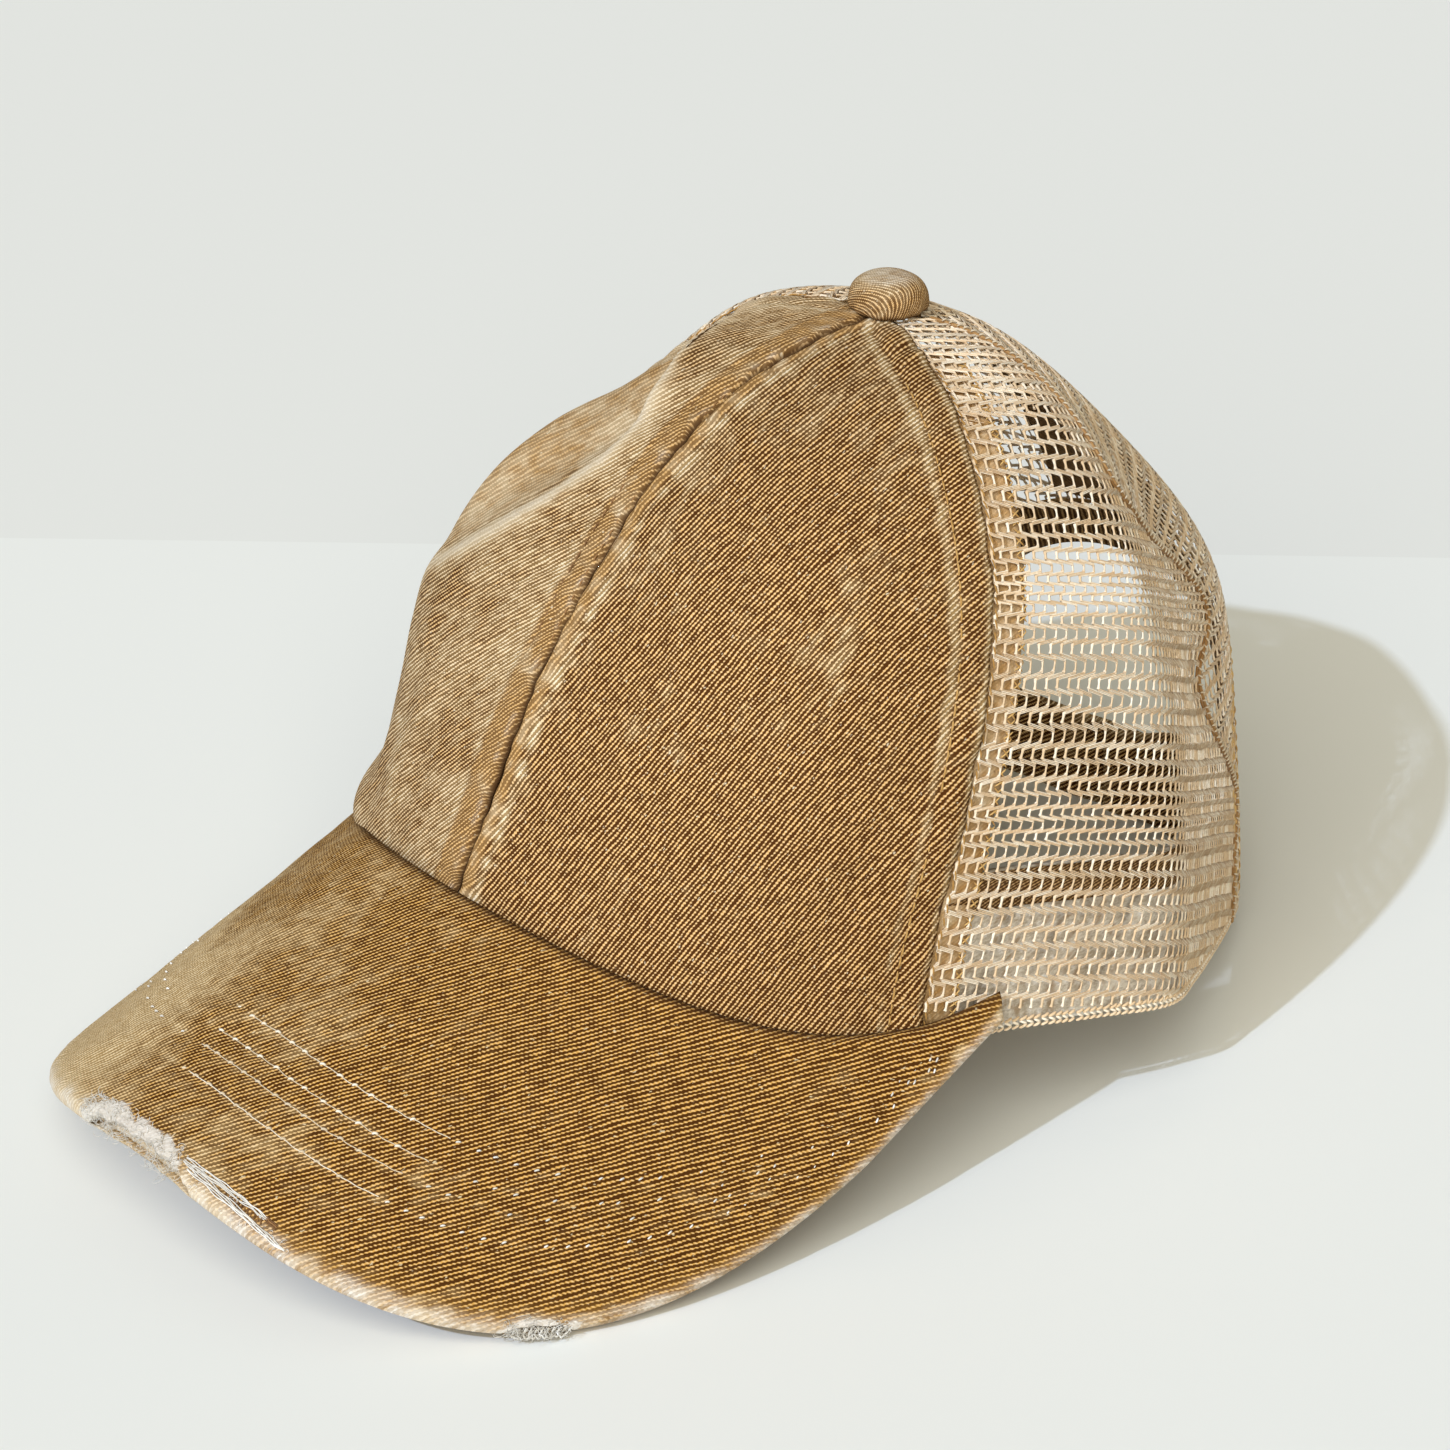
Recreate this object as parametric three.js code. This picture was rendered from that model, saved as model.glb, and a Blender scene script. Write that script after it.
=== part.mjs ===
// Soft trucker cap: two twill front panels, four net panels, a twill-covered visor on a board,
// a covered button, a sweatband and a rear opening bridged by a strap of two tabs.
// Millimetres, +Z up. The front looks along -Y and the wearer's left is +X.
// Angles are degrees round the crown from the front, positive towards the wearer's left.

import * as THREE from 'three';

// Driving dimensions
const CROWN_HEIGHT = 131;
const APEX_SHIFT = { x: -2.2, y: -1.6 };
const CLOTH_WALL = 1.2;
const GAP = 0.3;
const LAYER_GAP = 0.9;
const APEX_HOLE_RADIUS = 4.5;
const LEVEL_NEAR_APEX = 0.97;
const PANEL_ROWS = 14;
const LAST_OPEN_ROW = 11;
const BUTTON = { radius: 7.4, height: 6.6, edge: 1, steps: 5, sides: 24 };
const SWEATBAND = { height: 31, wall: 1.5, clearance: 1.1, endAngle: 130 };
const VISOR = { middleHeight: 49.5, bendRadius: 67.4, slope: 0.387, frontY: -107 };
const VISOR_OUTLINE = { halfWidth: 78.6, sideY: -76, reach: 100, squareness: 2.5, endX: 76.5, endY: -42 };
const VISOR_LAYERS = { cloth: 1.0, board: 1.6, gap: 0.3, clearOfCrown: 0.45, boardMargin: 1.6 };
const VISOR_END_ANGLE = 61;
const ARCH = { halfWidth: 50, top: 64, squareness: 2.5 };
const BINDING = { width: 9, wall: 1.0 };
const REAR_TAPE = { halfWidthLow: 20, halfWidthHigh: 6, bottom: 75, topLevel: 0.9, wall: 1.0 };
const STRAP = { height: 20, wall: 1.2, end: 57, overlap: 12, lift: 7 };
const REAR_MM_PER_DEGREE = 1.29;

// Round the rim: radius and height of the bottom edge, then how the panel leans in and rises above it
const SECTIONS = [
  { angle: -165, radius: 75.5, height: 0.0, lean: 1.1, rise: 1.0 },
  { angle: -150, radius: 74.0, height: 3.5, lean: 1.04, rise: 1.0 },
  { angle: -130, radius: 72.0, height: 8.0, lean: 0.94, rise: 1.0 },
  { angle: -110, radius: 72.0, height: 13.0, lean: 0.82, rise: 0.98 },
  { angle: -90, radius: 76.5, height: 18.8, lean: 0.74, rise: 0.95 },
  { angle: -76, radius: 80.0, height: 23.0, lean: 0.7, rise: 0.95 },
  { angle: -62, radius: 84.0, height: 26.0, lean: 0.66, rise: 0.97 },
  { angle: -51, radius: 91.0, height: 27.5, lean: 0.66, rise: 1.0 },
  { angle: -40, radius: 98.0, height: 29.5, lean: 0.72, rise: 1.1 },
  { angle: -20, radius: 104.5, height: 38.5, lean: 0.76, rise: 1.32 },
  { angle: 0, radius: 107.0, height: 44.0, lean: 0.8, rise: 1.6 },
  { angle: 20, radius: 103.8, height: 38.5, lean: 0.7, rise: 1.3 },
  { angle: 40, radius: 96.0, height: 29.5, lean: 0.62, rise: 1.08 },
  { angle: 51, radius: 89.7, height: 27.5, lean: 0.6, rise: 1.0 },
  { angle: 62, radius: 83.0, height: 26.0, lean: 0.58, rise: 0.95 },
  { angle: 76, radius: 79.5, height: 23.0, lean: 0.58, rise: 0.93 },
  { angle: 90, radius: 77.5, height: 18.8, lean: 0.6, rise: 0.93 },
  { angle: 100, radius: 71.5, height: 15.5, lean: 0.66, rise: 0.95 },
  { angle: 112, radius: 67.0, height: 12.0, lean: 0.76, rise: 1.0 },
  { angle: 130, radius: 66.0, height: 8.0, lean: 0.94, rise: 1.04 },
  { angle: 150, radius: 70.5, height: 3.5, lean: 1.08, rise: 1.04 },
  { angle: 165, radius: 74.0, height: 0.0, lean: 1.12, rise: 1.02 },
  { angle: 180, radius: 76.0, height: 0.0, lean: 1.12, rise: 1.0 },
];

// Soft hollows and folds: where on the crown, how wide each way, how far in (folds out are negative)
const DENTS = [
  { name: 'hollow of the right side', angle: -57, level: 0.68, spanAngle: 18, spanLevel: 0.174, depth: 12 },
  { name: 'fold below the hollow', angle: -47, level: 0.47, spanAngle: 8.5, spanLevel: 0.15, depth: -5.3 },
  { name: 'fullness over the visor', angle: -30, level: 0.06, spanAngle: 13, spanLevel: 0.06, depth: -2.5 },
  { name: 'dip above that fullness', angle: -31, level: 0.22, spanAngle: 12, spanLevel: 0.08, depth: 2.6 },
  { name: 'crease between those two', angle: -36, level: 0.13, spanAngle: 9, spanLevel: 0.05, depth: 2 },
  { name: 'dip by the left seam', angle: 46, level: 0.2, spanAngle: 7, spanLevel: 0.14, depth: 1.2 },
  { name: 'fullness of the rear left', angle: 150, level: 0.4, spanAngle: 26, spanLevel: 0.15, depth: -5.5 },
  { name: 'dip before that fullness', angle: 121, level: 0.31, spanAngle: 10, spanLevel: 0.07, depth: 2.5 },
];

// The ridge of the right front panel: the cloth falls in beyond it, deepest at the ridge's width
const RIDGE = [
  { level: 0, angle: -44, depth: 0 }, { level: 0.3, angle: -44, depth: 0.6 },
  { level: 0.375, angle: -37, depth: 2.5 }, { level: 0.45, angle: -28, depth: 5.5 },
  { level: 0.53, angle: -20.5, depth: 8 }, { level: 0.62, angle: -15, depth: 9 },
  { level: 0.69, angle: -13, depth: 9 }, { level: 0.75, angle: -17, depth: 8 },
  { level: 0.795, angle: -24.5, depth: 6 }, { level: 0.84, angle: -42, depth: 3 },
  { level: 0.92, angle: -58, depth: 0.6 }, { level: 1, angle: -65, depth: 0 },
];
const RIDGE_WIDTH = 12;
const RIDGE_ROUNDING = 1.2;
const RIDGE_REACH = 10;

// Seams: angle at each level, where level 0 is the bottom edge and 1 is the apex
const SEAMS = {
  centre: [
    { level: 0, angle: 0 }, { level: 0.3, angle: 2 }, { level: 0.6, angle: 2 }, { level: 1, angle: 0 },
  ],
  frontLeft: [
    { level: 0, angle: 51 }, { level: 0.1, angle: 52.5 }, { level: 0.25, angle: 56.5 },
    { level: 0.5, angle: 62.5 }, { level: 0.75, angle: 64 }, { level: 1, angle: 65 },
  ],
  frontRight: [
    { level: 0, angle: -56 }, { level: 0.1, angle: -58 }, { level: 0.25, angle: -63 },
    { level: 0.5, angle: -70 }, { level: 0.75, angle: -72 }, { level: 1, angle: -72 },
  ],
  rearLeft: [
    { level: 0, angle: 132 }, { level: 0.07, angle: 133.5 }, { level: 0.14, angle: 138 },
    { level: 0.24, angle: 126 }, { level: 0.3, angle: 124.5 }, { level: 0.37, angle: 133 },
    { level: 0.44, angle: 126 }, { level: 0.51, angle: 111.5 }, { level: 0.59, angle: 101 },
    { level: 0.67, angle: 100 }, { level: 0.75, angle: 104.5 }, { level: 0.86, angle: 114 },
    { level: 1, angle: 124 },
  ],
  rearRight: [
    { level: 0, angle: -132 }, { level: 0.25, angle: -128 }, { level: 0.5, angle: -119 },
    { level: 0.75, angle: -117 }, { level: 1, angle: -124 },
  ],
  rearCentre: [{ level: 0, angle: 180 }, { level: 1, angle: 180 }],
  rearCentreBack: [{ level: 0, angle: -180 }, { level: 1, angle: -180 }],
};

const COLOURS = {
  twill: 0xa88652,
  net: 0xc9ab7d,
  board: 0xd9cdb4,
  sweatband: 0xb9ad98,
  strap: 0x4b3a26,
  binding: 0x8a6c40,
};

const cloth = (color) => new THREE.MeshStandardMaterial({ color, roughness: 0.95, metalness: 0 });
const twill = cloth(COLOURS.twill);
const net = cloth(COLOURS.net);
const board = cloth(COLOURS.board);
const cotton = cloth(COLOURS.sweatband);
const strapCloth = cloth(COLOURS.strap);
const bindingCloth = cloth(COLOURS.binding);

const cap = new THREE.Group();

// A smooth curve through the rows of a table, read from one named column
function readTable(rows, key, column, at) {
  const last = rows.length - 1;
  const slope = (i) => (rows[i + 1][column] - rows[i][column]) / (rows[i + 1][key] - rows[i][key]);
  const tangent = (i) => {
    if (i === 0) return slope(0);
    if (i === last) return slope(last - 1);
    const before = rows[i][key] - rows[i - 1][key];
    const after = rows[i + 1][key] - rows[i][key];
    return (before * slope(i) + after * slope(i - 1)) / (before + after);
  };
  let i = 0;
  while (i < last - 1 && at >= rows[i + 1][key]) i += 1;
  const span = rows[i + 1][key] - rows[i][key];
  const t = (at - rows[i][key]) / span;
  const start = (1 + 2 * t) * (1 - t) ** 2 * rows[i][column] + t * (1 - t) ** 2 * span * tangent(i);
  const end = t * t * (3 - 2 * t) * rows[i + 1][column] + t * t * (t - 1) * span * tangent(i + 1);
  return start + end;
}

const wrapDegrees = (degrees) => THREE.MathUtils.euclideanModulo(degrees + 180, 360) - 180;
const turned = (turn) => SECTIONS.map((row) => ({ ...row, angle: row.angle + turn }));
const SECTIONS_ALL_ROUND = [...turned(-360), ...SECTIONS, ...turned(360)];
const section = (column, angle) => readTable(SECTIONS_ALL_ROUND, 'angle', column, wrapDegrees(angle));
const seamAngle = (name, level) => readTable(SEAMS[name], 'level', 'angle', level);
const rimHeight = (angle) => Math.max(0, section('height', angle));

// How far the crown's face falls in beyond the ridge
function ridgeDepth(angle, level) {
  const past = wrapDegrees(readTable(RIDGE, 'level', 'angle', level) - angle) / RIDGE_ROUNDING;
  const beyond = (RIDGE_ROUNDING * Math.log1p(Math.exp(past))) / RIDGE_WIDTH;
  if (beyond > RIDGE_REACH) return 0;
  return readTable(RIDGE, 'level', 'depth', level) * beyond * Math.exp(1 - beyond);
}

// How far the hollows and folds move the crown's face inwards at one place
function dentDepth(angle, level) {
  let depth = 0;
  for (const dent of DENTS) {
    const across = wrapDegrees(angle - dent.angle) / dent.spanAngle;
    const along = (level - dent.level) / dent.spanLevel;
    depth += dent.depth * Math.exp(-across * across - along * along);
  }
  return depth + ridgeDepth(angle, level);
}

// Outer face of the crown
function crownPoint(angle, level) {
  const quarterTurn = (level * Math.PI) / 2;
  const shrink = Math.max(Math.cos(quarterTurn), 0) ** section('lean', angle);
  const rise = Math.max(Math.sin(quarterTurn), 0) ** section('rise', angle);
  const radius = section('radius', angle) * shrink - dentDepth(angle, level);
  const around = THREE.MathUtils.degToRad(angle);
  const bottom = rimHeight(angle);
  return new THREE.Vector3(
    radius * Math.sin(around) + APEX_SHIFT.x * (1 - shrink),
    -radius * Math.cos(around) + APEX_SHIFT.y * (1 - shrink),
    bottom + (CROWN_HEIGHT - bottom) * rise,
  );
}

// The crown's face moved inwards along its normal, which is level at the rim so that the edge stays flat
function crownInside(angle, level, depth) {
  const stepAngle = 0.4;
  const stepLevel = 0.004;
  const flatEdge = 0.06;
  const low = Math.max(level - stepLevel, 0);
  const along = crownPoint(angle, Math.min(level + stepLevel, 0.999)).sub(crownPoint(angle, low));
  const across = crownPoint(angle + stepAngle, level).sub(crownPoint(angle - stepAngle, level));
  const normal = across.cross(along).normalize();
  normal.z *= Math.min(1, level / flatEdge);
  normal.normalize();
  return crownPoint(angle, level).addScaledVector(normal, -depth);
}

// Level at which the crown stands a given height above its bottom edge
function levelAbove(angle, height) {
  const share = THREE.MathUtils.clamp(height / (CROWN_HEIGHT - rimHeight(angle)), 0, 1);
  return (2 / Math.PI) * Math.asin(share ** (1 / section('rise', angle)));
}

// Level at which a panel ends round the hole under the button
function levelAtApex(angle) {
  const share = APEX_HOLE_RADIUS / section('radius', angle);
  return (2 / Math.PI) * Math.acos(share ** (1 / section('lean', angle)));
}

// A closed shell over a grid of columns and rows; place(column, row, side) is on side 0 outside, 1 inside
function shell(columns, rows, place, isHole = () => false) {
  const positions = [];
  const stride = rows + 1;
  for (let side = 0; side < 2; side += 1) {
    for (let c = 0; c <= columns; c += 1) {
      for (let r = 0; r <= rows; r += 1) positions.push(...place(c, r, side).toArray());
    }
  }
  const layer = (columns + 1) * stride;
  const at = (c, r, side) => side * layer + c * stride + r;
  const isCell = (c, r) => c >= 0 && c < columns && r >= 0 && r < rows && !isHole(c, r);
  const indices = [];
  const quad = (a, b, c, d) => indices.push(a, b, c, a, c, d);
  const wall = (c1, r1, c2, r2) => quad(at(c1, r1, 1), at(c2, r2, 1), at(c2, r2, 0), at(c1, r1, 0));
  for (let c = 0; c < columns; c += 1) {
    for (let r = 0; r < rows; r += 1) {
      if (!isCell(c, r)) continue;
      quad(at(c, r, 0), at(c + 1, r, 0), at(c + 1, r + 1, 0), at(c, r + 1, 0));
      quad(at(c, r, 1), at(c, r + 1, 1), at(c + 1, r + 1, 1), at(c + 1, r, 1));
      if (!isCell(c, r - 1)) wall(c, r, c + 1, r);
      if (!isCell(c + 1, r)) wall(c + 1, r, c + 1, r + 1);
      if (!isCell(c, r + 1)) wall(c + 1, r + 1, c, r + 1);
      if (!isCell(c - 1, r)) wall(c, r + 1, c, r);
    }
  }
  const used = new Map();
  const kept = [];
  const packed = indices.map((index) => {
    if (!used.has(index)) {
      used.set(index, used.size);
      kept.push(...positions.slice(3 * index, 3 * index + 3));
    }
    return used.get(index);
  });
  const geometry = new THREE.BufferGeometry();
  geometry.setAttribute('position', new THREE.Float32BufferAttribute(kept, 3));
  geometry.setIndex(packed);
  geometry.computeVertexNormals();
  return geometry;
}

function addMesh(name, geometry, material) {
  const mesh = new THREE.Mesh(geometry, material);
  mesh.name = name;
  cap.add(mesh);
}

// Rows of a panel are closer together near the apex, where the crown turns over
const rowShare = (row, rows) => 1 - (1 - row / rows) ** 1.25;

// One crown panel between two seams, from its bottom edge to the hole under the button
function crownPanel({ from, to, shares, bottomLevel = () => 0, isHole }) {
  const columns = shares.length - 1;
  const rows = PANEL_ROWS;
  const place = (column, row, side) => {
    const share = shares[column];
    const angleAt = (level) => {
      const start = seamAngle(from, level);
      const end = seamAngle(to, level);
      const middle = start + (end - start) * share;
      const radius = Math.hypot(crownPoint(middle, level).x, crownPoint(middle, level).y);
      const halfGap = THREE.MathUtils.radToDeg(GAP / 2 / Math.max(radius, APEX_HOLE_RADIUS));
      return start + halfGap + (end - start - 2 * halfGap) * share;
    };
    const bottom = bottomLevel(angleAt);
    const top = levelAtApex(angleAt(LEVEL_NEAR_APEX));
    const level = bottom + (top - bottom) * rowShare(row, rows);
    const angle = angleAt(level);
    return side === 0 ? crownPoint(angle, level) : crownInside(angle, level, CLOTH_WALL);
  };
  return shell(columns, rows, place, isHole);
}

const evenShares = (columns) => Array.from({ length: columns + 1 }, (_, column) => column / columns);

// Twill front panels
function addFrontPanels() {
  const shares = evenShares(11);
  const sharesOverRidge = evenShares(18);
  const right = { from: 'frontRight', to: 'centre', shares: sharesOverRidge };
  addMesh('front_panel_left', crownPanel({ from: 'centre', to: 'frontLeft', shares }), twill);
  addMesh('front_panel_right', crownPanel(right), twill);
}

// Net panels are cut through in a coarse pattern: every second cell across and up is open
const isOpenCell = (column, row) => column % 2 === 1 && row % 2 === 1 && row <= LAST_OPEN_ROW;

// Net side panels
function addSideNets() {
  const shares = evenShares(11);
  const isHole = isOpenCell;
  addMesh('side_mesh_left', crownPanel({ from: 'frontLeft', to: 'rearLeft', shares, isHole }), net);
  addMesh('side_mesh_right', crownPanel({ from: 'rearRight', to: 'frontRight', shares, isHole }), net);
}

// Height of the rear opening's edge at a distance from the rear centre
function archHeight(distance) {
  const rim = rimHeight(180 - distance / REAR_MM_PER_DEGREE);
  const share = Math.min(Math.abs(distance) / ARCH.halfWidth, 1);
  return rim + (ARCH.top - rim) * (1 - share ** ARCH.squareness) ** (1 / ARCH.squareness);
}

// Level at which a panel's column meets the arch: the two are brought together by halving
function archLevel(angleAt) {
  const halvings = 30;
  const closeEnough = 0.001;
  let low = 0;
  let high = LEVEL_NEAR_APEX;
  for (let step = 0; step < halvings; step += 1) {
    const middle = (low + high) / 2;
    const angle = angleAt(middle);
    const distance = (180 - Math.abs(angle)) * REAR_MM_PER_DEGREE;
    if (crownPoint(angle, middle).z < archHeight(distance) - closeEnough) low = middle;
    else high = middle;
  }
  return low;
}

// Net rear panels: a narrow leg beside the opening, then columns that crowd towards its steep side.
// The cells of the leg and those under the tape of the rear centre seam stay closed.
function addRearNets() {
  const legColumns = 2;
  const archColumns = 8;
  const columns = legColumns + archColumns;
  const seamDistance = (180 - seamAngle('rearLeft', 0)) * REAR_MM_PER_DEGREE;
  const legShare = 1 - ARCH.halfWidth / seamDistance;
  const shares = evenShares(legColumns).map((share) => share * legShare);
  for (let column = 1; column <= archColumns; column += 1) {
    const distance = ARCH.halfWidth * Math.cos((column / archColumns) * (Math.PI / 2));
    shares.push(1 - distance / seamDistance);
  }
  const mirrored = shares.map((share) => 1 - share).reverse();
  const bottomLevel = archLevel;
  const isHole = (column, row) => isOpenCell(column, row) && column > legColumns && column < columns - 1;
  const isHoleMirrored = (column, row) => isHole(columns - 1 - column, row);
  const left = { from: 'rearLeft', to: 'rearCentre', shares, bottomLevel, isHole };
  const rightSeams = { from: 'rearCentreBack', to: 'rearRight' };
  const right = { ...rightSeams, shares: mirrored, bottomLevel, isHole: isHoleMirrored };
  addMesh('rear_mesh_left', crownPanel(left), net);
  addMesh('rear_mesh_right', crownPanel(right), net);
}

// A place on the rear wall: distance from the rear centre, height above the rim and depth inside the face
function rearPlace(distance, heightAboveRim, depth) {
  const angle = 180 - distance / REAR_MM_PER_DEGREE;
  return crownInside(angle, levelAbove(angle, heightAboveRim), depth);
}

// Twill binding on the inside of the rear opening's edge
function addBinding() {
  const columns = 28;
  const outerDepth = CLOTH_WALL + LAYER_GAP;
  const place = (column, row, side) => {
    const turn = (column / columns) * Math.PI;
    const widen = row * BINDING.width;
    const power = 2 / ARCH.squareness;
    const across = Math.sign(Math.cos(turn)) * Math.abs(Math.cos(turn)) ** power;
    const distance = (ARCH.halfWidth + widen) * across;
    const rim = rimHeight(180 - distance / REAR_MM_PER_DEGREE);
    const height = (ARCH.top + widen - rim) * Math.abs(Math.sin(turn)) ** power;
    return rearPlace(distance, height, outerDepth + side * BINDING.wall);
  };
  addMesh('opening_binding', shell(columns, 1, place), bindingCloth);
}

// Twill tape over the rear centre seam, above the opening
function addRearTape() {
  const rows = 9;
  const columns = 4;
  const start = levelAbove(180, REAR_TAPE.bottom);
  const outerDepth = CLOTH_WALL + LAYER_GAP;
  const place = (column, row, side) => {
    const level = start + (REAR_TAPE.topLevel - start) * (row / rows);
    const halfWidth = THREE.MathUtils.lerp(REAR_TAPE.halfWidthLow, REAR_TAPE.halfWidthHigh, row / rows);
    const radius = crownPoint(180, level).y;
    const distance = halfWidth * (2 * (column / columns) - 1);
    const angle = 180 + THREE.MathUtils.radToDeg(distance / radius);
    return crownInside(angle, level, outerDepth + side * REAR_TAPE.wall);
  };
  addMesh('rear_seam_tape', shell(columns, rows, place), bindingCloth);
}

// Sweatband inside the rim, open at the rear opening
function addSweatband() {
  const columns = 52;
  const outerDepth = CLOTH_WALL + SWEATBAND.clearance;
  const place = (column, row, side) => {
    const angle = SWEATBAND.endAngle * (2 * (column / columns) - 1);
    const level = levelAbove(angle, SWEATBAND.height * (row / 2));
    return crownInside(angle, level, outerDepth + side * SWEATBAND.wall);
  };
  addMesh('sweatband', shell(columns, 2, place), cotton);
}

// Closure strap: two tabs that overlap at the rear centre. The wearer's left one passes inside the other
// there (its share along the tab runs from its free end, 0, to its sewn end, 1) and is tilted up.
function addStrap() {
  const columns = 14;
  const sewnDepth = CLOTH_WALL + LAYER_GAP + BINDING.wall + LAYER_GAP;
  const stepsOver = { from: 0.35, to: 0.8 };
  const tiltsUp = { from: 0.05, to: 0.4 };
  const tab = (towards, insideStep, liftBy) => (column, row, side) => {
    const share = column / columns;
    const distance = towards * THREE.MathUtils.lerp(-STRAP.overlap, STRAP.end, share);
    const ramp = 1 - THREE.MathUtils.smoothstep(share, stepsOver.from, stepsOver.to);
    const tilt = liftBy * THREE.MathUtils.smoothstep(share, tiltsUp.from, tiltsUp.to);
    const height = tilt + STRAP.height * row;
    return rearPlace(distance, height, sewnDepth + insideStep * ramp + side * STRAP.wall);
  };
  const mirror = (place) => (column, row, side) => place(columns - column, row, side);
  const leftTab = tab(1, STRAP.wall + 2 * GAP, STRAP.lift);
  const rightTab = tab(-1, 0, 0);
  addMesh('strap_left', shell(columns, 1, mirror(leftTab)), strapCloth);
  addMesh('strap_right', shell(columns, 1, rightTab), strapCloth);
}

// Covered button on the apex
function addButton() {
  const { radius, height, edge, steps, sides } = BUTTON;
  const profile = [new THREE.Vector2(0, 0), new THREE.Vector2(radius - edge, 0)];
  for (let step = 0; step < steps; step += 1) {
    const turn = (step / steps) * (Math.PI / 2);
    profile.push(new THREE.Vector2(radius * Math.cos(turn), edge + (height - edge) * Math.sin(turn)));
  }
  profile.push(new THREE.Vector2(0, height));
  const geometry = new THREE.LatheGeometry(profile, sides);
  geometry.rotateX(Math.PI / 2);
  geometry.translate(APEX_SHIFT.x, APEX_SHIFT.y, CROWN_HEIGHT + GAP);
  addMesh('top_button', geometry, twill);
}

// Top face of the visor: bent over the front and sloping down forwards
function visorHeight(x, y) {
  return VISOR.middleHeight - (x * x) / (2 * VISOR.bendRadius) - VISOR.slope * (VISOR.frontY - y);
}

// Outer edge of the visor; share runs from -1 at the wearer's right end to 1 at the left end
function visorEdge(share, margin) {
  const roundShare = 0.8;
  const turn = Math.min(Math.abs(share) / roundShare, 1) * (Math.PI / 2);
  const power = 2 / VISOR_OUTLINE.squareness;
  const tail = Math.max((Math.abs(share) - roundShare) / (1 - roundShare), 0);
  const wide = (VISOR_OUTLINE.halfWidth - margin) * Math.sin(turn) ** power;
  const front = VISOR_OUTLINE.sideY - (VISOR_OUTLINE.reach - margin) * Math.max(Math.cos(turn), 0) ** power;
  const x = THREE.MathUtils.lerp(wide, VISOR_OUTLINE.endX - margin, tail);
  const y = THREE.MathUtils.lerp(front, VISOR_OUTLINE.endY, tail);
  return new THREE.Vector2(Math.sign(share) * x, y);
}

// A place on the visor: share along it, share out from the crown, depth under the top face.
// Depth is measured square to the face, and straight down where the visor meets the crown.
function visorPlace(share, out, depth, margin) {
  const rim = crownPoint(share * VISOR_END_ANGLE, 0);
  const rimOut = 1 + VISOR_LAYERS.clearOfCrown / Math.hypot(rim.x, rim.y);
  const edge = visorEdge(share, margin);
  const x = THREE.MathUtils.lerp(rim.x * rimOut, edge.x, out);
  const y = THREE.MathUtils.lerp(rim.y * rimOut, edge.y, out);
  const steep = new THREE.Vector3(x / VISOR.bendRadius, -VISOR.slope, 1);
  const down = new THREE.Vector3(0, 0, -steep.length());
  const square = steep.normalize().negate();
  const direction = down.lerp(square, THREE.MathUtils.smoothstep(out, 0, 0.6));
  return new THREE.Vector3(x, y, visorHeight(x, y)).addScaledVector(direction, depth);
}

// Visor: twill over a board over twill
function addVisor() {
  const columns = 26;
  const rows = 6;
  const layer = (top, wall, margin) => {
    const place = (column, row, side) => {
      const share = 1 - 2 * (column / columns);
      return visorPlace(share, row / rows, top + side * wall, margin);
    };
    return shell(columns, rows, place);
  };
  const boardTop = VISOR_LAYERS.cloth + VISOR_LAYERS.gap;
  const underTop = boardTop + VISOR_LAYERS.board + VISOR_LAYERS.gap;
  addMesh('visor_top', layer(0, VISOR_LAYERS.cloth, 0), twill);
  addMesh('visor_board', layer(boardTop, VISOR_LAYERS.board, VISOR_LAYERS.boardMargin), board);
  addMesh('visor_under', layer(underTop, VISOR_LAYERS.cloth, 0), twill);
}

addFrontPanels();
addSideNets();
addRearNets();
addBinding();
addRearTape();
addSweatband();
addStrap();
addButton();
addVisor();

// The origin is on the ground under the middle of the whole cap
const box = new THREE.Box3().setFromObject(cap);
const centre = box.getCenter(new THREE.Vector3());
cap.position.set(-centre.x, -centre.y, -box.min.z);

export default cap;
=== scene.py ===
# %% [markdown]
# # A washed trucker cap
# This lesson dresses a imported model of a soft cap. The front is two panels of golden khaki twill, the
# sides and back are knitted net, and the visor is twill over a stiff board with a torn front edge.
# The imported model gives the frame: every piece here is made in the same place and at the same size.

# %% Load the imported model
import math
from types import SimpleNamespace

import bpy
import numpy as np
from mathutils import Matrix, Vector


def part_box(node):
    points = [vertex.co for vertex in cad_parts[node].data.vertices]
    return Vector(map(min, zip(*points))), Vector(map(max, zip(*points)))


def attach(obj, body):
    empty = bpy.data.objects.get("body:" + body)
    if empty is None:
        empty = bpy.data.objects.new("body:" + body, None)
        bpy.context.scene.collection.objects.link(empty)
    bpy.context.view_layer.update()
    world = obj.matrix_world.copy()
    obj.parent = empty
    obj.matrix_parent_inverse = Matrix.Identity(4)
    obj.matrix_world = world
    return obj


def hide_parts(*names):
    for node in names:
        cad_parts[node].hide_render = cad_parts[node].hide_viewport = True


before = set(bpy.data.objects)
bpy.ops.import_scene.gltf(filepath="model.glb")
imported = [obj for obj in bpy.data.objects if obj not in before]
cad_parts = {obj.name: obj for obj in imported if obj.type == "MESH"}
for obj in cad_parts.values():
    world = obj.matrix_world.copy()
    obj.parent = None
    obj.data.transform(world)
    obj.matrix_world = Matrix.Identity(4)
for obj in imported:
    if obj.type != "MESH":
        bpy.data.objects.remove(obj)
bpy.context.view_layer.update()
print("solids in the frame:", len(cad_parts))

# %% [markdown]
# ## Where the cap stands
# The crown is round an upright axis. Its place comes from the covered button, which sits on the apex,
# and the apex of this soft crown leans a little off the axis. Working in millimetres keeps the sizes
# easy to read, so lengths are turned into metres only when a mesh is made.

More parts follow.
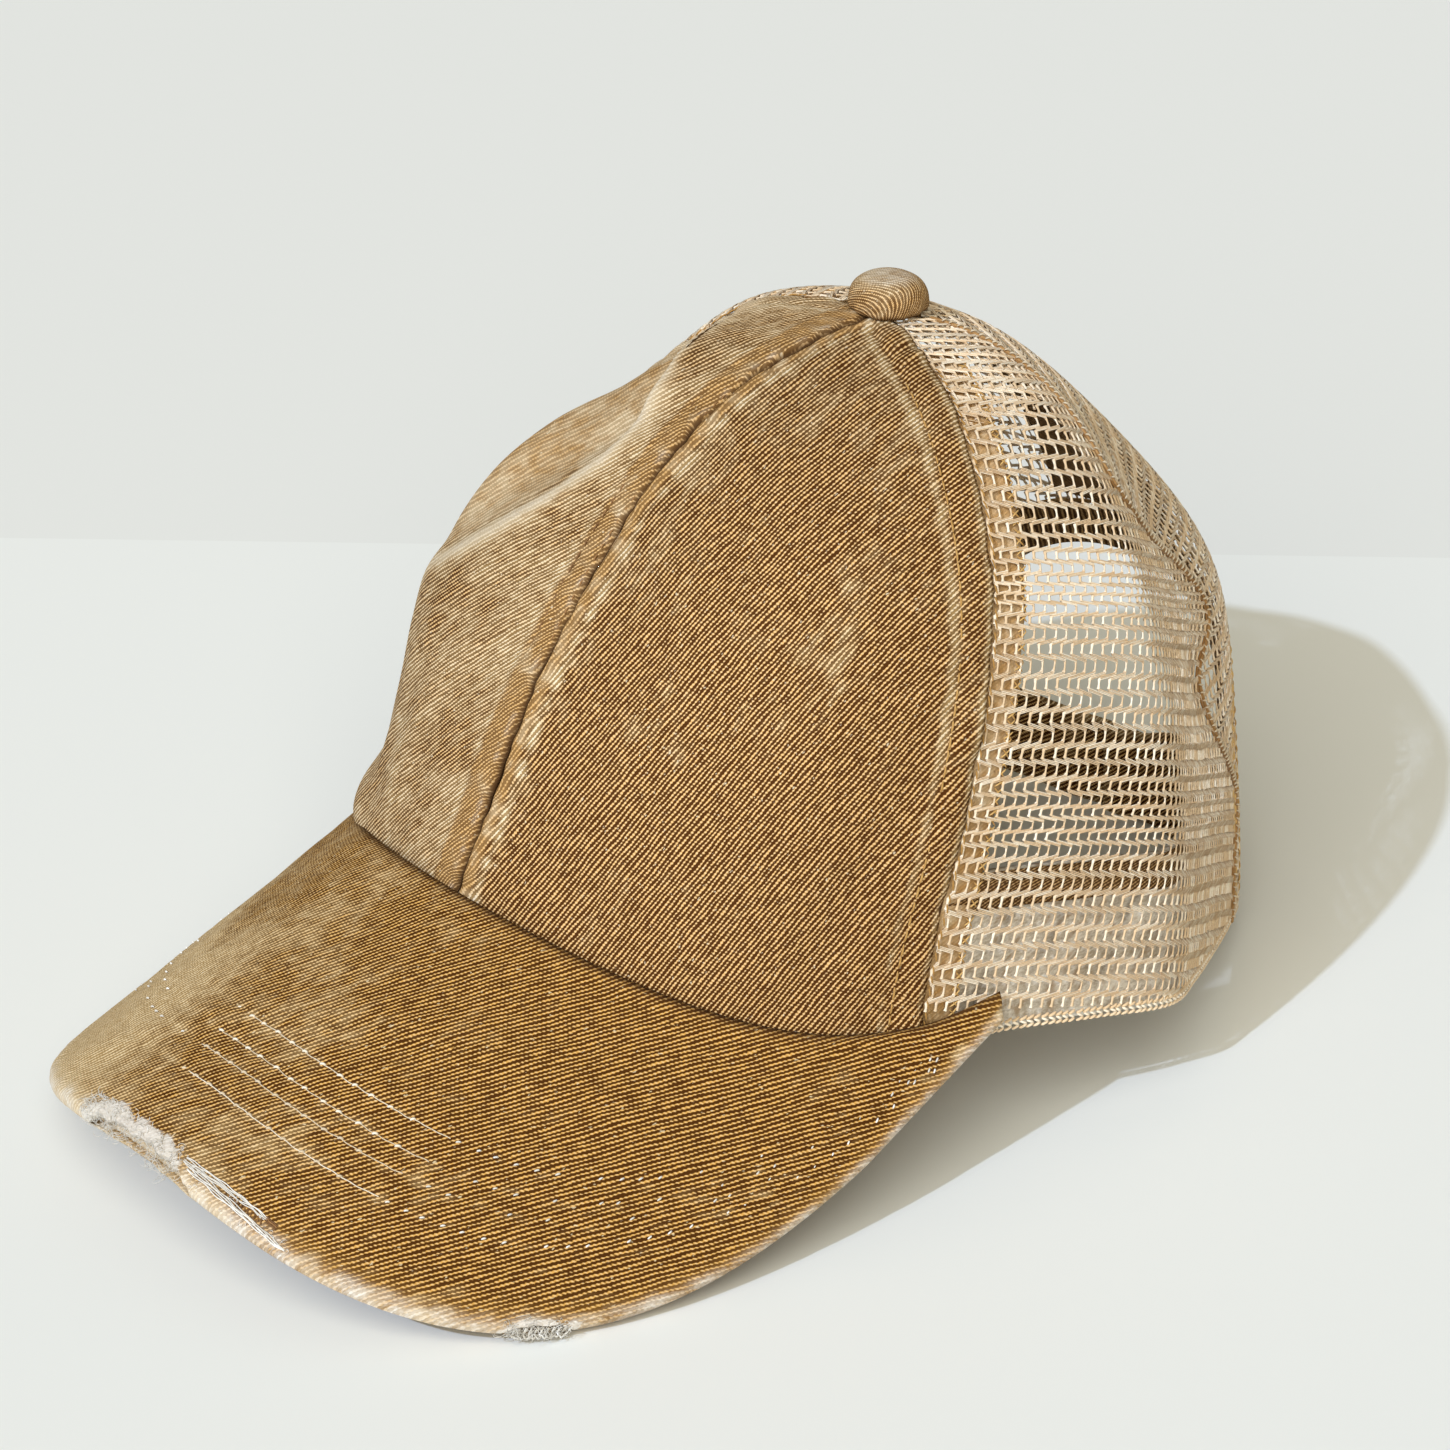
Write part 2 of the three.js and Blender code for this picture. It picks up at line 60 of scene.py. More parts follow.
# %% The crown's axis, from the button
MM = 0.001
APEX_SHIFT_X = -2.2
APEX_SHIFT_Y = -1.6
button_low, button_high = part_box("top_button")
BUTTON_BASE = button_low[2] / MM
BUTTON_HEIGHT = (button_high[2] - button_low[2]) / MM
BUTTON_RADIUS = (button_high[0] - button_low[0]) / MM / 2
AXIS_X = (button_low[0] + button_high[0]) / MM / 2 - APEX_SHIFT_X
AXIS_Y = (button_low[1] + button_high[1]) / MM / 2 - APEX_SHIFT_Y
SEAM_GAP = 0.3
CROWN_HEIGHT = BUTTON_BASE - SEAM_GAP
print("crown axis at", round(AXIS_X, 2), round(AXIS_Y, 2), "and height", round(CROWN_HEIGHT, 2))

# %% [markdown]
# ## The camera
# The camera stands in front and to the wearer's left, and looks down at the cap. A long lens from nearly
# a metre away keeps the cap's proportions, so the camera is built from an azimuth, an elevation and a
# distance to the point that it aims at, and no depth of field is used.

# %% Set the camera
VIEW_AZIMUTH = math.radians(50)
VIEW_ELEVATION = math.radians(27)
VIEW_DISTANCE = 900
VIEW_AIM = Vector((-30.1, AXIS_Y - 17.2, 39.8))
LENS = 115.07
SENSOR = 36

view_right = Vector((math.cos(VIEW_AZIMUTH), math.sin(VIEW_AZIMUTH), 0))
view_back = Vector((
    math.sin(VIEW_AZIMUTH) * math.cos(VIEW_ELEVATION),
    -math.cos(VIEW_AZIMUTH) * math.cos(VIEW_ELEVATION),
    math.sin(VIEW_ELEVATION),
))
view_up = view_back.cross(view_right)
camera_data = bpy.data.cameras.new("camera")
camera_data.lens = LENS
camera_data.sensor_width = SENSOR
camera = bpy.data.objects.new("camera", camera_data)
bpy.context.scene.collection.objects.link(camera)
camera.matrix_world = Matrix.Translation((VIEW_AIM + view_back * VIEW_DISTANCE) * MM) @ Matrix(
    (view_right, view_up, view_back)).transposed().to_4x4()
bpy.context.scene.camera = camera
print("camera at", [round(x, 3) for x in camera.matrix_world.translation])

# %% [markdown]
# ## The floor and the light
# The cap stands on a plain pale table, with a slightly darker grey beyond its far edge. A small cool lamp
# at the front left gives the shape its shading and throws a crisp shadow behind the cap to the right. A
# broad lamp near the camera and a warm world fill the shadows, as studio screens do.

# %% Make the floor
FLOOR_SIZE = 20
TABLE_COLOR = (0.85, 0.86, 0.83)
BACKDROP_COLOR = (0.81, 0.815, 0.785)
TABLE_EDGE = 168
TABLE_SKEW = -0.033
away = Vector((-math.sin(VIEW_AZIMUTH), math.cos(VIEW_AZIMUTH), 0))


def plain_material(name, color, roughness):
    """A plain surface for the floor, with its values on the shader's own sockets."""
    material = bpy.data.materials.new(name)
    material.use_nodes = True
    shader = material.node_tree.nodes["Principled BSDF"]
    shader.inputs["Base Color"].default_value = (*color, 1)
    shader.inputs["Roughness"].default_value = roughness
    return material


def make_floor(name, depth, color):
    """A flat part of the ground that starts at the table's far edge and runs to one side of it."""
    along = (view_right + TABLE_SKEW * away) * FLOOR_SIZE
    edge = (Vector((VIEW_AIM[0], VIEW_AIM[1], 0)) + away * TABLE_EDGE) * MM
    corners = [edge - along, edge + along, edge + along + away * depth, edge - along + away * depth]
    mesh = bpy.data.meshes.new(name)
    mesh.from_pydata(corners, [], [(0, 1, 2, 3) if depth > 0 else (3, 2, 1, 0)])
    floor = bpy.data.objects.new(name, mesh)
    bpy.context.scene.collection.objects.link(floor)
    mesh.materials.append(plain_material(name + "_paint", color, 0.8))


make_floor("table", -FLOOR_SIZE, TABLE_COLOR)
make_floor("backdrop", FLOOR_SIZE, BACKDROP_COLOR)
print("the table ends", TABLE_EDGE, "mm beyond the middle of the cap")

# %% [markdown]
# Sun lamps suit a small scene: their light is parallel, and their angle alone sets how soft the shadows
# are. The key lamp is nearly a point, so its shadows are crisp, and the fill lamp is broad.

# %% Make the lamps and the world
KEY_TURN = math.radians(52)
KEY_ELEVATION = math.radians(39.5)
KEY_STRENGTH = 1.98
KEY_ANGLE = math.radians(1)
KEY_COLOR = (0.637, 0.76, 1.0)
FILL_TURN = math.radians(80)
FILL_ELEVATION = math.radians(40)
FILL_STRENGTH = 2.36
FILL_ANGLE = math.radians(55)
FILL_COLOR = (1.0, 0.98, 0.88)
WORLD_COLOR = (1.0, 0.90, 0.66)
WORLD_STRENGTH = 0.22


def make_lamp(name, direction, strength, angle, color):
    """A sun lamp whose light travels along a direction; the angle sets how soft its shadows are."""
    data = bpy.data.lights.new(name, "SUN")
    data.energy = strength
    data.angle = angle
    data.color = color
    lamp = bpy.data.objects.new(name, data)
    bpy.context.scene.collection.objects.link(lamp)
    lamp.rotation_euler = Vector(direction).to_track_quat("-Z", "Y").to_euler()


def lamp_direction(turn, elevation):
    """The way a lamp's light travels; a turn of 0 goes to the picture's right and 90 degrees goes away."""
    level = math.cos(turn) * view_right + math.sin(turn) * away
    return math.cos(elevation) * level + Vector((0, 0, -math.sin(elevation)))


key_direction = lamp_direction(KEY_TURN, KEY_ELEVATION)
fill_direction = lamp_direction(FILL_TURN, FILL_ELEVATION)
make_lamp("key_lamp", key_direction, KEY_STRENGTH, KEY_ANGLE, KEY_COLOR)
make_lamp("fill_lamp", fill_direction, FILL_STRENGTH, FILL_ANGLE, FILL_COLOR)
world = bpy.data.worlds.new("studio")
world.use_nodes = True
background = world.node_tree.nodes["Background"]
background.inputs["Color"].default_value = (*WORLD_COLOR, 1)
background.inputs["Strength"].default_value = WORLD_STRENGTH
bpy.context.scene.world = world
bpy.context.scene.view_settings.view_transform = "Standard"
print("key lamp points along", [round(x, 2) for x in key_direction])

# %% [markdown]
# ## Making meshes from arrays
# A cap has thousands of small parts that repeat, such as the yarns of the net. Making them one by one
# with operators would be slow, so each piece is worked out as arrays of points and faces and written
# to its mesh in one go. A surface of cloth is a closed shell: an outer grid, an inner grid and the
# strips between their edges. A yarn is a tube round a row of points.

# %% From arrays to a piece
def new_piece(name, points, faces, material, nodes=(), slot=None, smooth=True, values=None, vectors=None):
    """A mesh piece from points in millimetres, riding on the cap's body."""
    points = np.asarray(points, dtype=np.float64)
    faces = np.asarray(faces, dtype=np.int32)
    count, corners = faces.shape
    mesh = bpy.data.meshes.new(name)
    mesh.vertices.add(len(points))
    mesh.vertices.foreach_set("co", (points * MM).astype(np.float32).ravel())
    mesh.loops.add(faces.size)
    mesh.loops.foreach_set("vertex_index", faces.ravel())
    mesh.polygons.add(count)
    mesh.polygons.foreach_set("loop_start", np.arange(count, dtype=np.int32) * corners)
    mesh.polygons.foreach_set("use_smooth", np.full(count, smooth))
    mesh.update(calc_edges=True)
    for kind, field, layers in (("FLOAT", "value", values), ("FLOAT_VECTOR", "vector", vectors)):
        for key, data in (layers or {}).items():
            layer = mesh.attributes.new(key, kind, "POINT")
            layer.data.foreach_set(field, np.asarray(data, dtype=np.float32).ravel())
    mesh.materials.append(material)
    piece = bpy.data.objects.new(name, mesh)
    bpy.context.scene.collection.objects.link(piece)
    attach(piece, "root")
    if nodes:
        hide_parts(*nodes)
    print(name, "has", len(points), "points and", count * (corners - 2), "triangles")
    return piece

# %% [markdown]
# A closed shell joins an outer and an inner grid, so the cloth has a real thickness. A single sheet would
# look like paper wherever an edge shows. A tube is a ring of points that is carried along a path.

# %% Shells and tubes
def shell_faces(columns, rows):
    """Quads of a closed shell whose points are an outer grid and then an inner grid."""
    index = np.arange((columns + 1) * (rows + 1)).reshape(columns + 1, rows + 1)
    inner = index + index.size

    def quads(a, b, c, d):
        return np.stack([a, b, c, d], axis=-1).reshape(-1, 4)

    def strip(edge, edge_inside):
        return quads(edge_inside[:-1], edge_inside[1:], edge[1:], edge[:-1])

    return np.concatenate([
        quads(index[:-1, :-1], index[1:, :-1], index[1:, 1:], index[:-1, 1:]),
        quads(inner[:-1, :-1], inner[:-1, 1:], inner[1:, 1:], inner[1:, :-1]),
        strip(index[:, 0], inner[:, 0]),
        strip(index[-1, :], inner[-1, :]),
        strip(index[::-1, -1], inner[::-1, -1]),
        strip(index[0, ::-1], inner[0, ::-1]),
    ])


def tubes(paths, outward, radius, sides, aspect=1.0, tip=0.15):
    """Points and quads of tubes along many paths of the same length. outward gives each path's flat side,
    aspect below 1 flattens a tube along it, and tip draws the ends together."""
    along = np.gradient(paths, axis=1)
    along /= np.linalg.norm(along, axis=-1, keepdims=True) + 1e-9
    across = np.cross(along, outward)
    across /= np.linalg.norm(across, axis=-1, keepdims=True) + 1e-9
    up = np.cross(across, along)
    count, steps, _ = paths.shape
    width = np.broadcast_to(np.asarray(radius, dtype=float), (count, steps)).copy()
    width[:, 0] *= tip
    width[:, -1] *= tip
    turn = np.arange(sides) * 2 * math.pi / sides
    ring = np.cos(turn)[:, None] * across[:, :, None, :]
    ring = ring + aspect * np.sin(turn)[:, None] * up[:, :, None, :]
    points = paths[:, :, None, :] + width[:, :, None, None] * ring
    index = np.arange(count * steps * sides).reshape(count, steps, sides)
    after = np.roll(index, -1, axis=2)
    faces = np.stack([index[:, :-1], after[:, :-1], after[:, 1:], index[:, 1:]], axis=-1)
    return points.reshape(-1, 3), faces.reshape(-1, 4)


def join(parts):
    """One set of points and faces from several, with a number for each part's points."""
    points = np.concatenate([part[0] for part in parts])
    shifts = np.cumsum([0] + [len(part[0]) for part in parts[:-1]])
    faces = np.concatenate([part[1] + shift for part, shift in zip(parts, shifts)])
    member = np.concatenate([np.full(len(part[0]), i) for i, part in enumerate(parts)])
    return points, faces, member

# %% [markdown]
# ## The crown's shape
# The rim of a soft cap isn't level: it is high over the forehead, lower at the temples and down on the
# table at the back, and its outline isn't round. A short table of sections gives the rim's radius and
# height round the head, and two powers that say how each section leans in and rises towards the apex.
# A smooth curve runs through the rows. Folds and hollows are soft bumps that change the radius.

# %% Tables of the crown
SECTION_COLUMNS = ("angle", "radius", "height", "lean", "rise")
SECTIONS = [
    (-165, 75.5, 0.0, 1.10, 1.00), (-150, 74.0, 3.5, 1.04, 1.00), (-130, 72.0, 8.0, 0.94, 1.00),
    (-110, 72.0, 13.0, 0.82, 0.98), (-90, 76.5, 18.8, 0.74, 0.95), (-76, 80.0, 23.0, 0.70, 0.95),
    (-62, 84.0, 26.0, 0.66, 0.97), (-51, 91.0, 27.5, 0.66, 1.00), (-40, 98.0, 29.5, 0.72, 1.10),
    (-20, 104.5, 38.5, 0.76, 1.32), (0, 107.0, 44.0, 0.80, 1.60), (20, 103.8, 38.5, 0.70, 1.30),
    (40, 96.0, 29.5, 0.62, 1.08), (51, 89.7, 27.5, 0.60, 1.00), (62, 83.0, 26.0, 0.58, 0.95),
    (76, 79.5, 23.0, 0.58, 0.93), (90, 77.5, 18.8, 0.60, 0.93), (100, 71.5, 15.5, 0.66, 0.95),
    (112, 67.0, 12.0, 0.76, 1.00), (130, 66.0, 8.0, 0.94, 1.04), (150, 70.5, 3.5, 1.08, 1.04),
    (165, 74.0, 0.0, 1.12, 1.02), (180, 76.0, 0.0, 1.12, 1.00),
]
# Each fold: angle, level, span of angle, span of level and depth
FOLDS = [
    (-57, 0.68, 18, 0.174, 12.0),
    (-47, 0.47, 8.5, 0.15, -5.3),
    (-30, 0.06, 13, 0.06, -2.5),
    (-31, 0.22, 12, 0.08, 2.6),
    (-36, 0.13, 9, 0.05, 2.0),
    (46, 0.20, 7, 0.14, 1.2),
    (150, 0.40, 26, 0.15, -5.5),
    (121, 0.31, 10, 0.07, 2.5),
]
RIDGE_COLUMNS = ("level", "angle", "depth")
RIDGE = [
    (0.00, -44, 0.0), (0.30, -44, 0.6), (0.375, -37, 2.5), (0.45, -28, 5.5),
    (0.53, -20.5, 8.0), (0.62, -15, 9.0), (0.69, -13, 9.0), (0.75, -17, 8.0),
    (0.795, -24.5, 6.0), (0.84, -42, 3.0), (0.92, -58, 0.6), (1.00, -65, 0.0),
]
RIDGE_WIDTH = 12
RIDGE_ROUND = 1.2
# Each seam: pairs of a level and the angle that the seam has reached there
SEAMS = {
    "centre": [(0, 0), (0.3, 2), (0.6, 2), (1, 0)],
    "front_left": [(0, 51), (0.1, 52.5), (0.25, 56.5), (0.5, 62.5), (0.75, 64), (1, 65)],
    "front_right": [(0, -56), (0.1, -58), (0.25, -63), (0.5, -70), (0.75, -72), (1, -72)],
    "rear_left": [(0, 132), (0.07, 133.5), (0.14, 138), (0.24, 126), (0.3, 124.5), (0.37, 133), (0.44, 126),
                  (0.51, 111.5), (0.59, 101), (0.67, 100), (0.75, 104.5), (0.86, 114), (1, 124)],
    "rear_right": [(0, -132), (0.25, -128), (0.5, -119), (0.75, -117), (1, -124)],
    "rear_centre": [(0, 180), (1, 180)],
    "rear_centre_back": [(0, -180), (1, -180)],
}

# %% [markdown]
# These functions turn an angle round the head and a level from the rim to the apex into a point.
# Everything on the crown is placed through them, so all its pieces share one shape.

# %% Crown functions
def smooth_curve(knots, heights, at):
    """A smooth curve through the knots, read at many places."""
    knots = np.asarray(knots, dtype=float)
    heights = np.asarray(heights, dtype=float)
    spans = np.diff(knots)
    slopes = np.diff(heights) / spans
    tangents = np.empty_like(heights)
    tangents[0], tangents[-1] = slopes[0], slopes[-1]
    tangents[1:-1] = (spans[:-1] * slopes[1:] + spans[1:] * slopes[:-1]) / (spans[:-1] + spans[1:])
    at = np.asarray(at, dtype=float)
    i = np.clip(np.searchsorted(knots, at, side="right") - 1, 0, len(spans) - 1)
    t = (at - knots[i]) / spans[i]
    start = (1 + 2 * t) * (1 - t) ** 2 * heights[i] + t * (1 - t) ** 2 * spans[i] * tangents[i]
    end = t * t * (3 - 2 * t) * heights[i + 1] + t * t * (t - 1) * spans[i] * tangents[i + 1]
    return start + end


def column_of(rows, columns, name):
    return np.array([row[columns.index(name)] for row in rows], dtype=float)


def wrapped(angle):
    """An angle in degrees brought to between -180 and 180."""
    return (np.asarray(angle, dtype=float) + 180) % 360 - 180


FINE_ANGLES = np.linspace(-181, 181, 1449)
section_angles = column_of(SECTIONS, SECTION_COLUMNS, "angle")
all_angles = np.concatenate([section_angles - 360, section_angles, section_angles + 360])
FINE_SECTIONS = {}
for column in SECTION_COLUMNS[1:]:
    around = np.tile(column_of(SECTIONS, SECTION_COLUMNS, column), 3)
    FINE_SECTIONS[column] = smooth_curve(all_angles, around, FINE_ANGLES)
FINE_SECTIONS["height"] = np.maximum(FINE_SECTIONS["height"], 0)
FINE_LEVELS = np.linspace(0, 1, 401)
ridge_levels = column_of(RIDGE, RIDGE_COLUMNS, "level")
FINE_RIDGE = {
    name: smooth_curve(ridge_levels, column_of(RIDGE, RIDGE_COLUMNS, name), FINE_LEVELS)
    for name in ("angle", "depth")
}
FINE_SEAMS = {
    name: smooth_curve([row[0] for row in rows], [row[1] for row in rows], FINE_LEVELS)
    for name, rows in SEAMS.items()
}


def section(column, angle):
    return np.interp(wrapped(angle), FINE_ANGLES, FINE_SECTIONS[column])


def seam_angle(name, level):
    return np.interp(level, FINE_LEVELS, FINE_SEAMS[name])


def fold_depth(angle, level):
    """How far folds and hollows move the crown's face inwards."""
    depth = np.zeros(np.broadcast(angle, level).shape)
    for fold_angle, fold_level, span_angle, span_level, size in FOLDS:
        across = wrapped(angle - fold_angle) / span_angle
        along = (level - fold_level) / span_level
        depth = depth + size * np.exp(-across ** 2 - along ** 2)
    beyond = wrapped(np.interp(level, FINE_LEVELS, FINE_RIDGE["angle"]) - angle)
    beyond = RIDGE_ROUND * np.logaddexp(0, beyond / RIDGE_ROUND) / RIDGE_WIDTH
    beyond = np.where(beyond > 10, 0, beyond)
    return depth + np.interp(level, FINE_LEVELS, FINE_RIDGE["depth"]) * beyond * np.exp(1 - beyond)


def crown(angle, level):
    """Points of the crown's outer face, in millimetres; level is 0 at the rim and 1 at the apex."""
    angle, level = np.broadcast_arrays(np.asarray(angle, dtype=float), np.asarray(level, dtype=float))
    quarter = np.clip(level, 0, 1) * math.pi / 2
    shrink = np.maximum(np.cos(quarter), 1e-9) ** section("lean", angle)
    rise = np.maximum(np.sin(quarter), 0) ** section("rise", angle)
    radius = section("radius", angle) * shrink - fold_depth(angle, level)
    bottom = section("height", angle)
    turn = np.radians(angle)
    return np.stack([
        AXIS_X + radius * np.sin(turn) + APEX_SHIFT_X * (1 - shrink),
        AXIS_Y - radius * np.cos(turn) + APEX_SHIFT_Y * (1 - shrink),
        bottom + (CROWN_HEIGHT - bottom) * rise,
    ], axis=-1)


def crown_normal(angle, level):
    """The direction that the crown's face looks in; at the rim it is level, so that edges stay flat."""
    step_angle, step_level, flat_edge = 0.3, 0.003, 0.06
    level = np.asarray(level, dtype=float)
    above = crown(angle, np.minimum(level + step_level, 0.999))
    below = crown(angle, np.maximum(level - step_level, 0))
    normal = np.cross(crown(angle + step_angle, level) - crown(angle - step_angle, level), above - below)
    normal /= np.linalg.norm(normal, axis=-1, keepdims=True)
    normal[..., 2] *= np.minimum(1, level / flat_edge)
    return normal / np.linalg.norm(normal, axis=-1, keepdims=True)


def level_above(angle, height):
    """Level at which the crown stands a height above its rim."""
    share = np.clip(height / (CROWN_HEIGHT - section("height", angle)), 0, 1)
    return np.arcsin(share ** (1 / section("rise", angle))) * 2 / math.pi


def level_at_radius(angle, radius):
    """Level at which the crown has closed in to a radius."""
    share = radius / section("radius", angle)
    return np.arccos(share ** (1 / section("lean", angle))) * 2 / math.pi


rim_steps = np.diff(crown(np.arange(-180, 181, 2.0), 0.0), axis=0)
print("rim length", round(float(np.linalg.norm(rim_steps, axis=1).sum())), "mm")

# %% [markdown]
# ## Washed twill
# Twill shows slanted ribs, because each yarn passes over several others, one step further in each row.
# A picture of twill would blur or repeat, so the ribs are worked out by the material from two lengths
# that every cloth piece carries: across the ribs and along them. Washing and rubbing has paled the
# ribs most where the cloth stands proud, so each piece also carries how worn it is at each point.

# %% Material helpers
def node(tree, kind, inputs=None, **settings):
    """A shader node with its settings, its plain values and its links in one call."""
    made = tree.nodes.new(kind)
    for key, value in settings.items():
        setattr(made, key, value)
    for key, value in (inputs or {}).items():
        value = getattr(value, "socket", value)
        if isinstance(value, bpy.types.NodeSocket):
            tree.links.new(value, made.inputs[key])
        else:
            made.inputs[key].default_value = value
    return made


class Amount:
    """A value that a material works out at each point. Amounts add and multiply like plain numbers."""

    def __init__(self, socket):
        self.socket = socket
        self.tree = socket.id_data

    def maths(self, operation, *values):
        made = node(self.tree, "ShaderNodeMath", dict(enumerate(values)), operation=operation)
        return Amount(made.outputs[0])

    def __add__(self, other):
        return self.maths("ADD", self, other)

    def __sub__(self, other):
        return self.maths("SUBTRACT", self, other)

    def __rsub__(self, other):
        return self.maths("SUBTRACT", other, self)

    def __mul__(self, other):
        return self.maths("MULTIPLY", self, other)

    def __truediv__(self, other):
        return self.maths("DIVIDE", self, other)

    def cosine(self):
        return self.maths("COSINE", self)

    def at_least(self, low):
        return self.maths("MAXIMUM", self, low)

    def push(self, middle, size):
        """A noise turned into a push to both sides of nothing."""
        return (self - middle) * size

    def band(self, low, high):
        """The value run smoothly from 0 at low to 1 at high."""
        inputs = {0: self, 1: low, 2: high}
        return Amount(node(self.tree, "ShaderNodeMapRange", inputs,
                           interpolation_type="SMOOTHSTEP").outputs[0])

    def mix(self, first, second):
        """Two colours mixed by this value."""
        return Amount(node(self.tree, "ShaderNodeMix", {0: self, 6: first, 7: second},
                           data_type="RGBA").outputs[2])


def attribute(tree, name, output="Fac"):
    return Amount(node(tree, "ShaderNodeAttribute", attribute_name=name).outputs[output])


def noise(place, scale, detail=2.0, roughness=0.5, stretch=None):
    """Noise over a place, which may first be stretched along its axes."""
    if stretch:
        made = node(place.tree, "ShaderNodeVectorMath", {0: place, 1: stretch}, operation="MULTIPLY")
        place = Amount(made.outputs[0])
    inputs = {"Vector": place, "Scale": scale, "Detail": detail, "Roughness": roughness}
    return Amount(node(place.tree, "ShaderNodeTexNoise", inputs).outputs["Fac"])


def new_material(name, roughness=0.9, specular=0.25):
    material = bpy.data.materials.new(name)
    material.use_nodes = True
    shader = material.node_tree.nodes["Principled BSDF"]
    shader.inputs["Roughness"].default_value = roughness
    shader.inputs["Specular IOR Level"].default_value = specular
    return material, material.node_tree, shader


def finish_material(tree, shader, color, height, strength, distance):
    """Joins the colour and the fine relief, whose height is in millimetres, to the shader."""
    inputs = {"Strength": strength, "Distance": distance * MM, "Height": height}
    bump = node(tree, "ShaderNodeBump", inputs)
    tree.links.new(color.socket, shader.inputs["Base Color"])
    tree.links.new(bump.outputs[0], shader.inputs["Normal"])

# %% [markdown]
# The ribs are a cosine wave across the cloth, made uneven by several noises, and a wave stays sharp however
# near the camera comes. Ribs and grooves each have a new and a worn colour, and the wear of a point
# chooses between them.

# %% The twill material
TWILL_PITCH = 0.78
FULL_TURN = 2 * math.pi
BARE_COTTON = (0.80, 0.77, 0.72, 1)
# The brown that painted shade darkens the twill towards
PAINTED_SHADE_BROWN = (0.07, 0.032, 0.012, 1)


def rib_pattern(tree, cloth):
    """Waves of the ribs and the small ticks of the yarns that cross them, both from -1 to 1."""
    parts = node(tree, "ShaderNodeSeparateXYZ", {0: cloth})
    wander = noise(cloth, 1.0, 3.0, 0.6, (0.40, 0.13, 1.0))
    across = Amount(parts.outputs[0]) / TWILL_PITCH + wander.push(0.5, 1.2)
    along = Amount(parts.outputs[1]) / TWILL_PITCH
    wave = (across * FULL_TURN).cosine()
    tick = ((along * 1.3 + across * 0.5) * FULL_TURN).cosine()
    return wave, tick


def make_twill(name, rib, groove, pale_rib, pale_groove):
    """Twill whose ribs run across the first length of the cloth attribute. The attributes wear, bare,
    shade and plain make it paler, show white threads, darken it with painted shade and quieten its ribs."""
    material, tree, shader = new_material(name, specular=0.08)
    cloth = attribute(tree, "cloth", "Vector")
    plain = attribute(tree, "plain")
    fibre = noise(cloth, 2.4, 3.0, 0.75, (1.6, 0.6, 1.0))
    breaks = noise(cloth, 1.1, 2.0, 0.6, (1.3, 0.42, 1.0))
    uneven = noise(cloth, 0.5, 3.0, 0.6, (1.0, 0.45, 1.0))
    patches = noise(cloth, 0.055, 3.0, 0.55)
    flecks = noise(cloth, 1.2, 2.0, 0.5, (1.2, 0.8, 1.0))
    specks = noise(cloth, 0.8, 2.0, 0.5, (1.0, 1.0, 1.0))
    wave, tick = rib_pattern(tree, cloth)
    # Where the cloth is plain, its fibres stand in for the ribs
    profile = wave * 0.5 + tick * 0.20 + fibre.push(0.5, 1.0) + breaks.push(0.5, 1.1)
    profile = profile.band(-0.06, 0.42)
    profile = profile + (fibre * 0.5 + 0.35 - profile) * plain
    wear = attribute(tree, "wear") + patches.push(0.5, 1.3) + uneven.push(0.5, 1.3)
    wear = wear.band(0.0, 1.0)
    ribs = wear.mix((*rib, 1), (*pale_rib, 1))
    grooves = wear.mix((*groove, 1), (*pale_groove, 1))
    color = profile.mix(grooves, ribs)
    # The tops of the ribs get a painted highlight, and pale flecks and dark specks lie over all
    crest = wave * 0.5 + tick * 0.4 + fibre.push(0.5, 1.2)
    crest = crest.band(0.35, 0.95) * (0.75 - plain)
    rib_highlight = [0.5 * a + 0.5 * b for a, b in zip(rib, pale_rib)]
    color = crest.at_least(0.0).mix(color, (*rib_highlight, 1))
    color = (flecks.band(0.67, 0.75) * 0.6).mix(color, (*pale_rib, 1))
    color = (specks.band(0.30, 0.24) * 0.5).mix(color, (*groove, 1))
    bare = attribute(tree, "bare") * (fibre.push(0.3, 1.5) + 0.35 + uneven.push(0.4, 1.6))
    bare = bare.band(0.05, 0.75) * (profile * 0.55 + 0.45)
    color = bare.mix(color, BARE_COTTON)
    # Painted shade: the shade attribute darkens the colour towards brown
    color = attribute(tree, "shade").mix(color, PAINTED_SHADE_BROWN)
    finish_material(tree, shader, color, profile + fibre * 0.5, 0.75, 0.20)
    return material


golden_twill = make_twill("washed_twill", (0.73, 0.432, 0.160), (0.076, 0.025, 0.004),
                          (0.93, 0.78, 0.55), (0.36, 0.225, 0.090))
visor_twill = make_twill("visor_twill", (0.67, 0.362, 0.086), (0.070, 0.023, 0.003),
                         (0.90, 0.73, 0.46), (0.42, 0.265, 0.105))
# A darker copy of the twill paints the shade inside the cap: on the seam allowance, the binding, the tape
# and the band's fold
painted_shade_twill = make_twill("painted_shade_twill", (0.50, 0.30, 0.12), (0.10, 0.05, 0.02),
                          (0.60, 0.45, 0.29), (0.28, 0.18, 0.10))
print("materials so far:", len(bpy.data.materials))

# %% [markdown]
# ## The front panels
# Two panels of twill meet at the centre seam, from the visor to the button. The seam is a crevice, dark
# with painted shade, with a flat welt beside it, held by a second row of stitches, and the pull of the
# stitches puckers the cloth. Modelling these in the mesh, and not only in the material, keeps them in
# every view. Each panel is a fine grid on the crown's shape, lifted or lowered by a relief that depends
# on how far each point is from its seams.

# %% Helpers for relief and wear
CLOTH_WALL = 1.2
APEX_HOLE = 4.5
WELT_WIDTH = 6.0
TOPSTITCH_INSET = 6.5


def bell(distance, width):
    return np.exp(-(distance / width) ** 2)


def bells(distance, *rows):
    """A sum of soft bands, each given by its strength, its place and its width."""
    return sum(strength * bell(distance - place, width) for strength, place, width in rows)


def smooth_step(value, low, high):
    t = np.clip((value - low) / (high - low), 0, 1)
    return t * t * (3 - 2 * t)


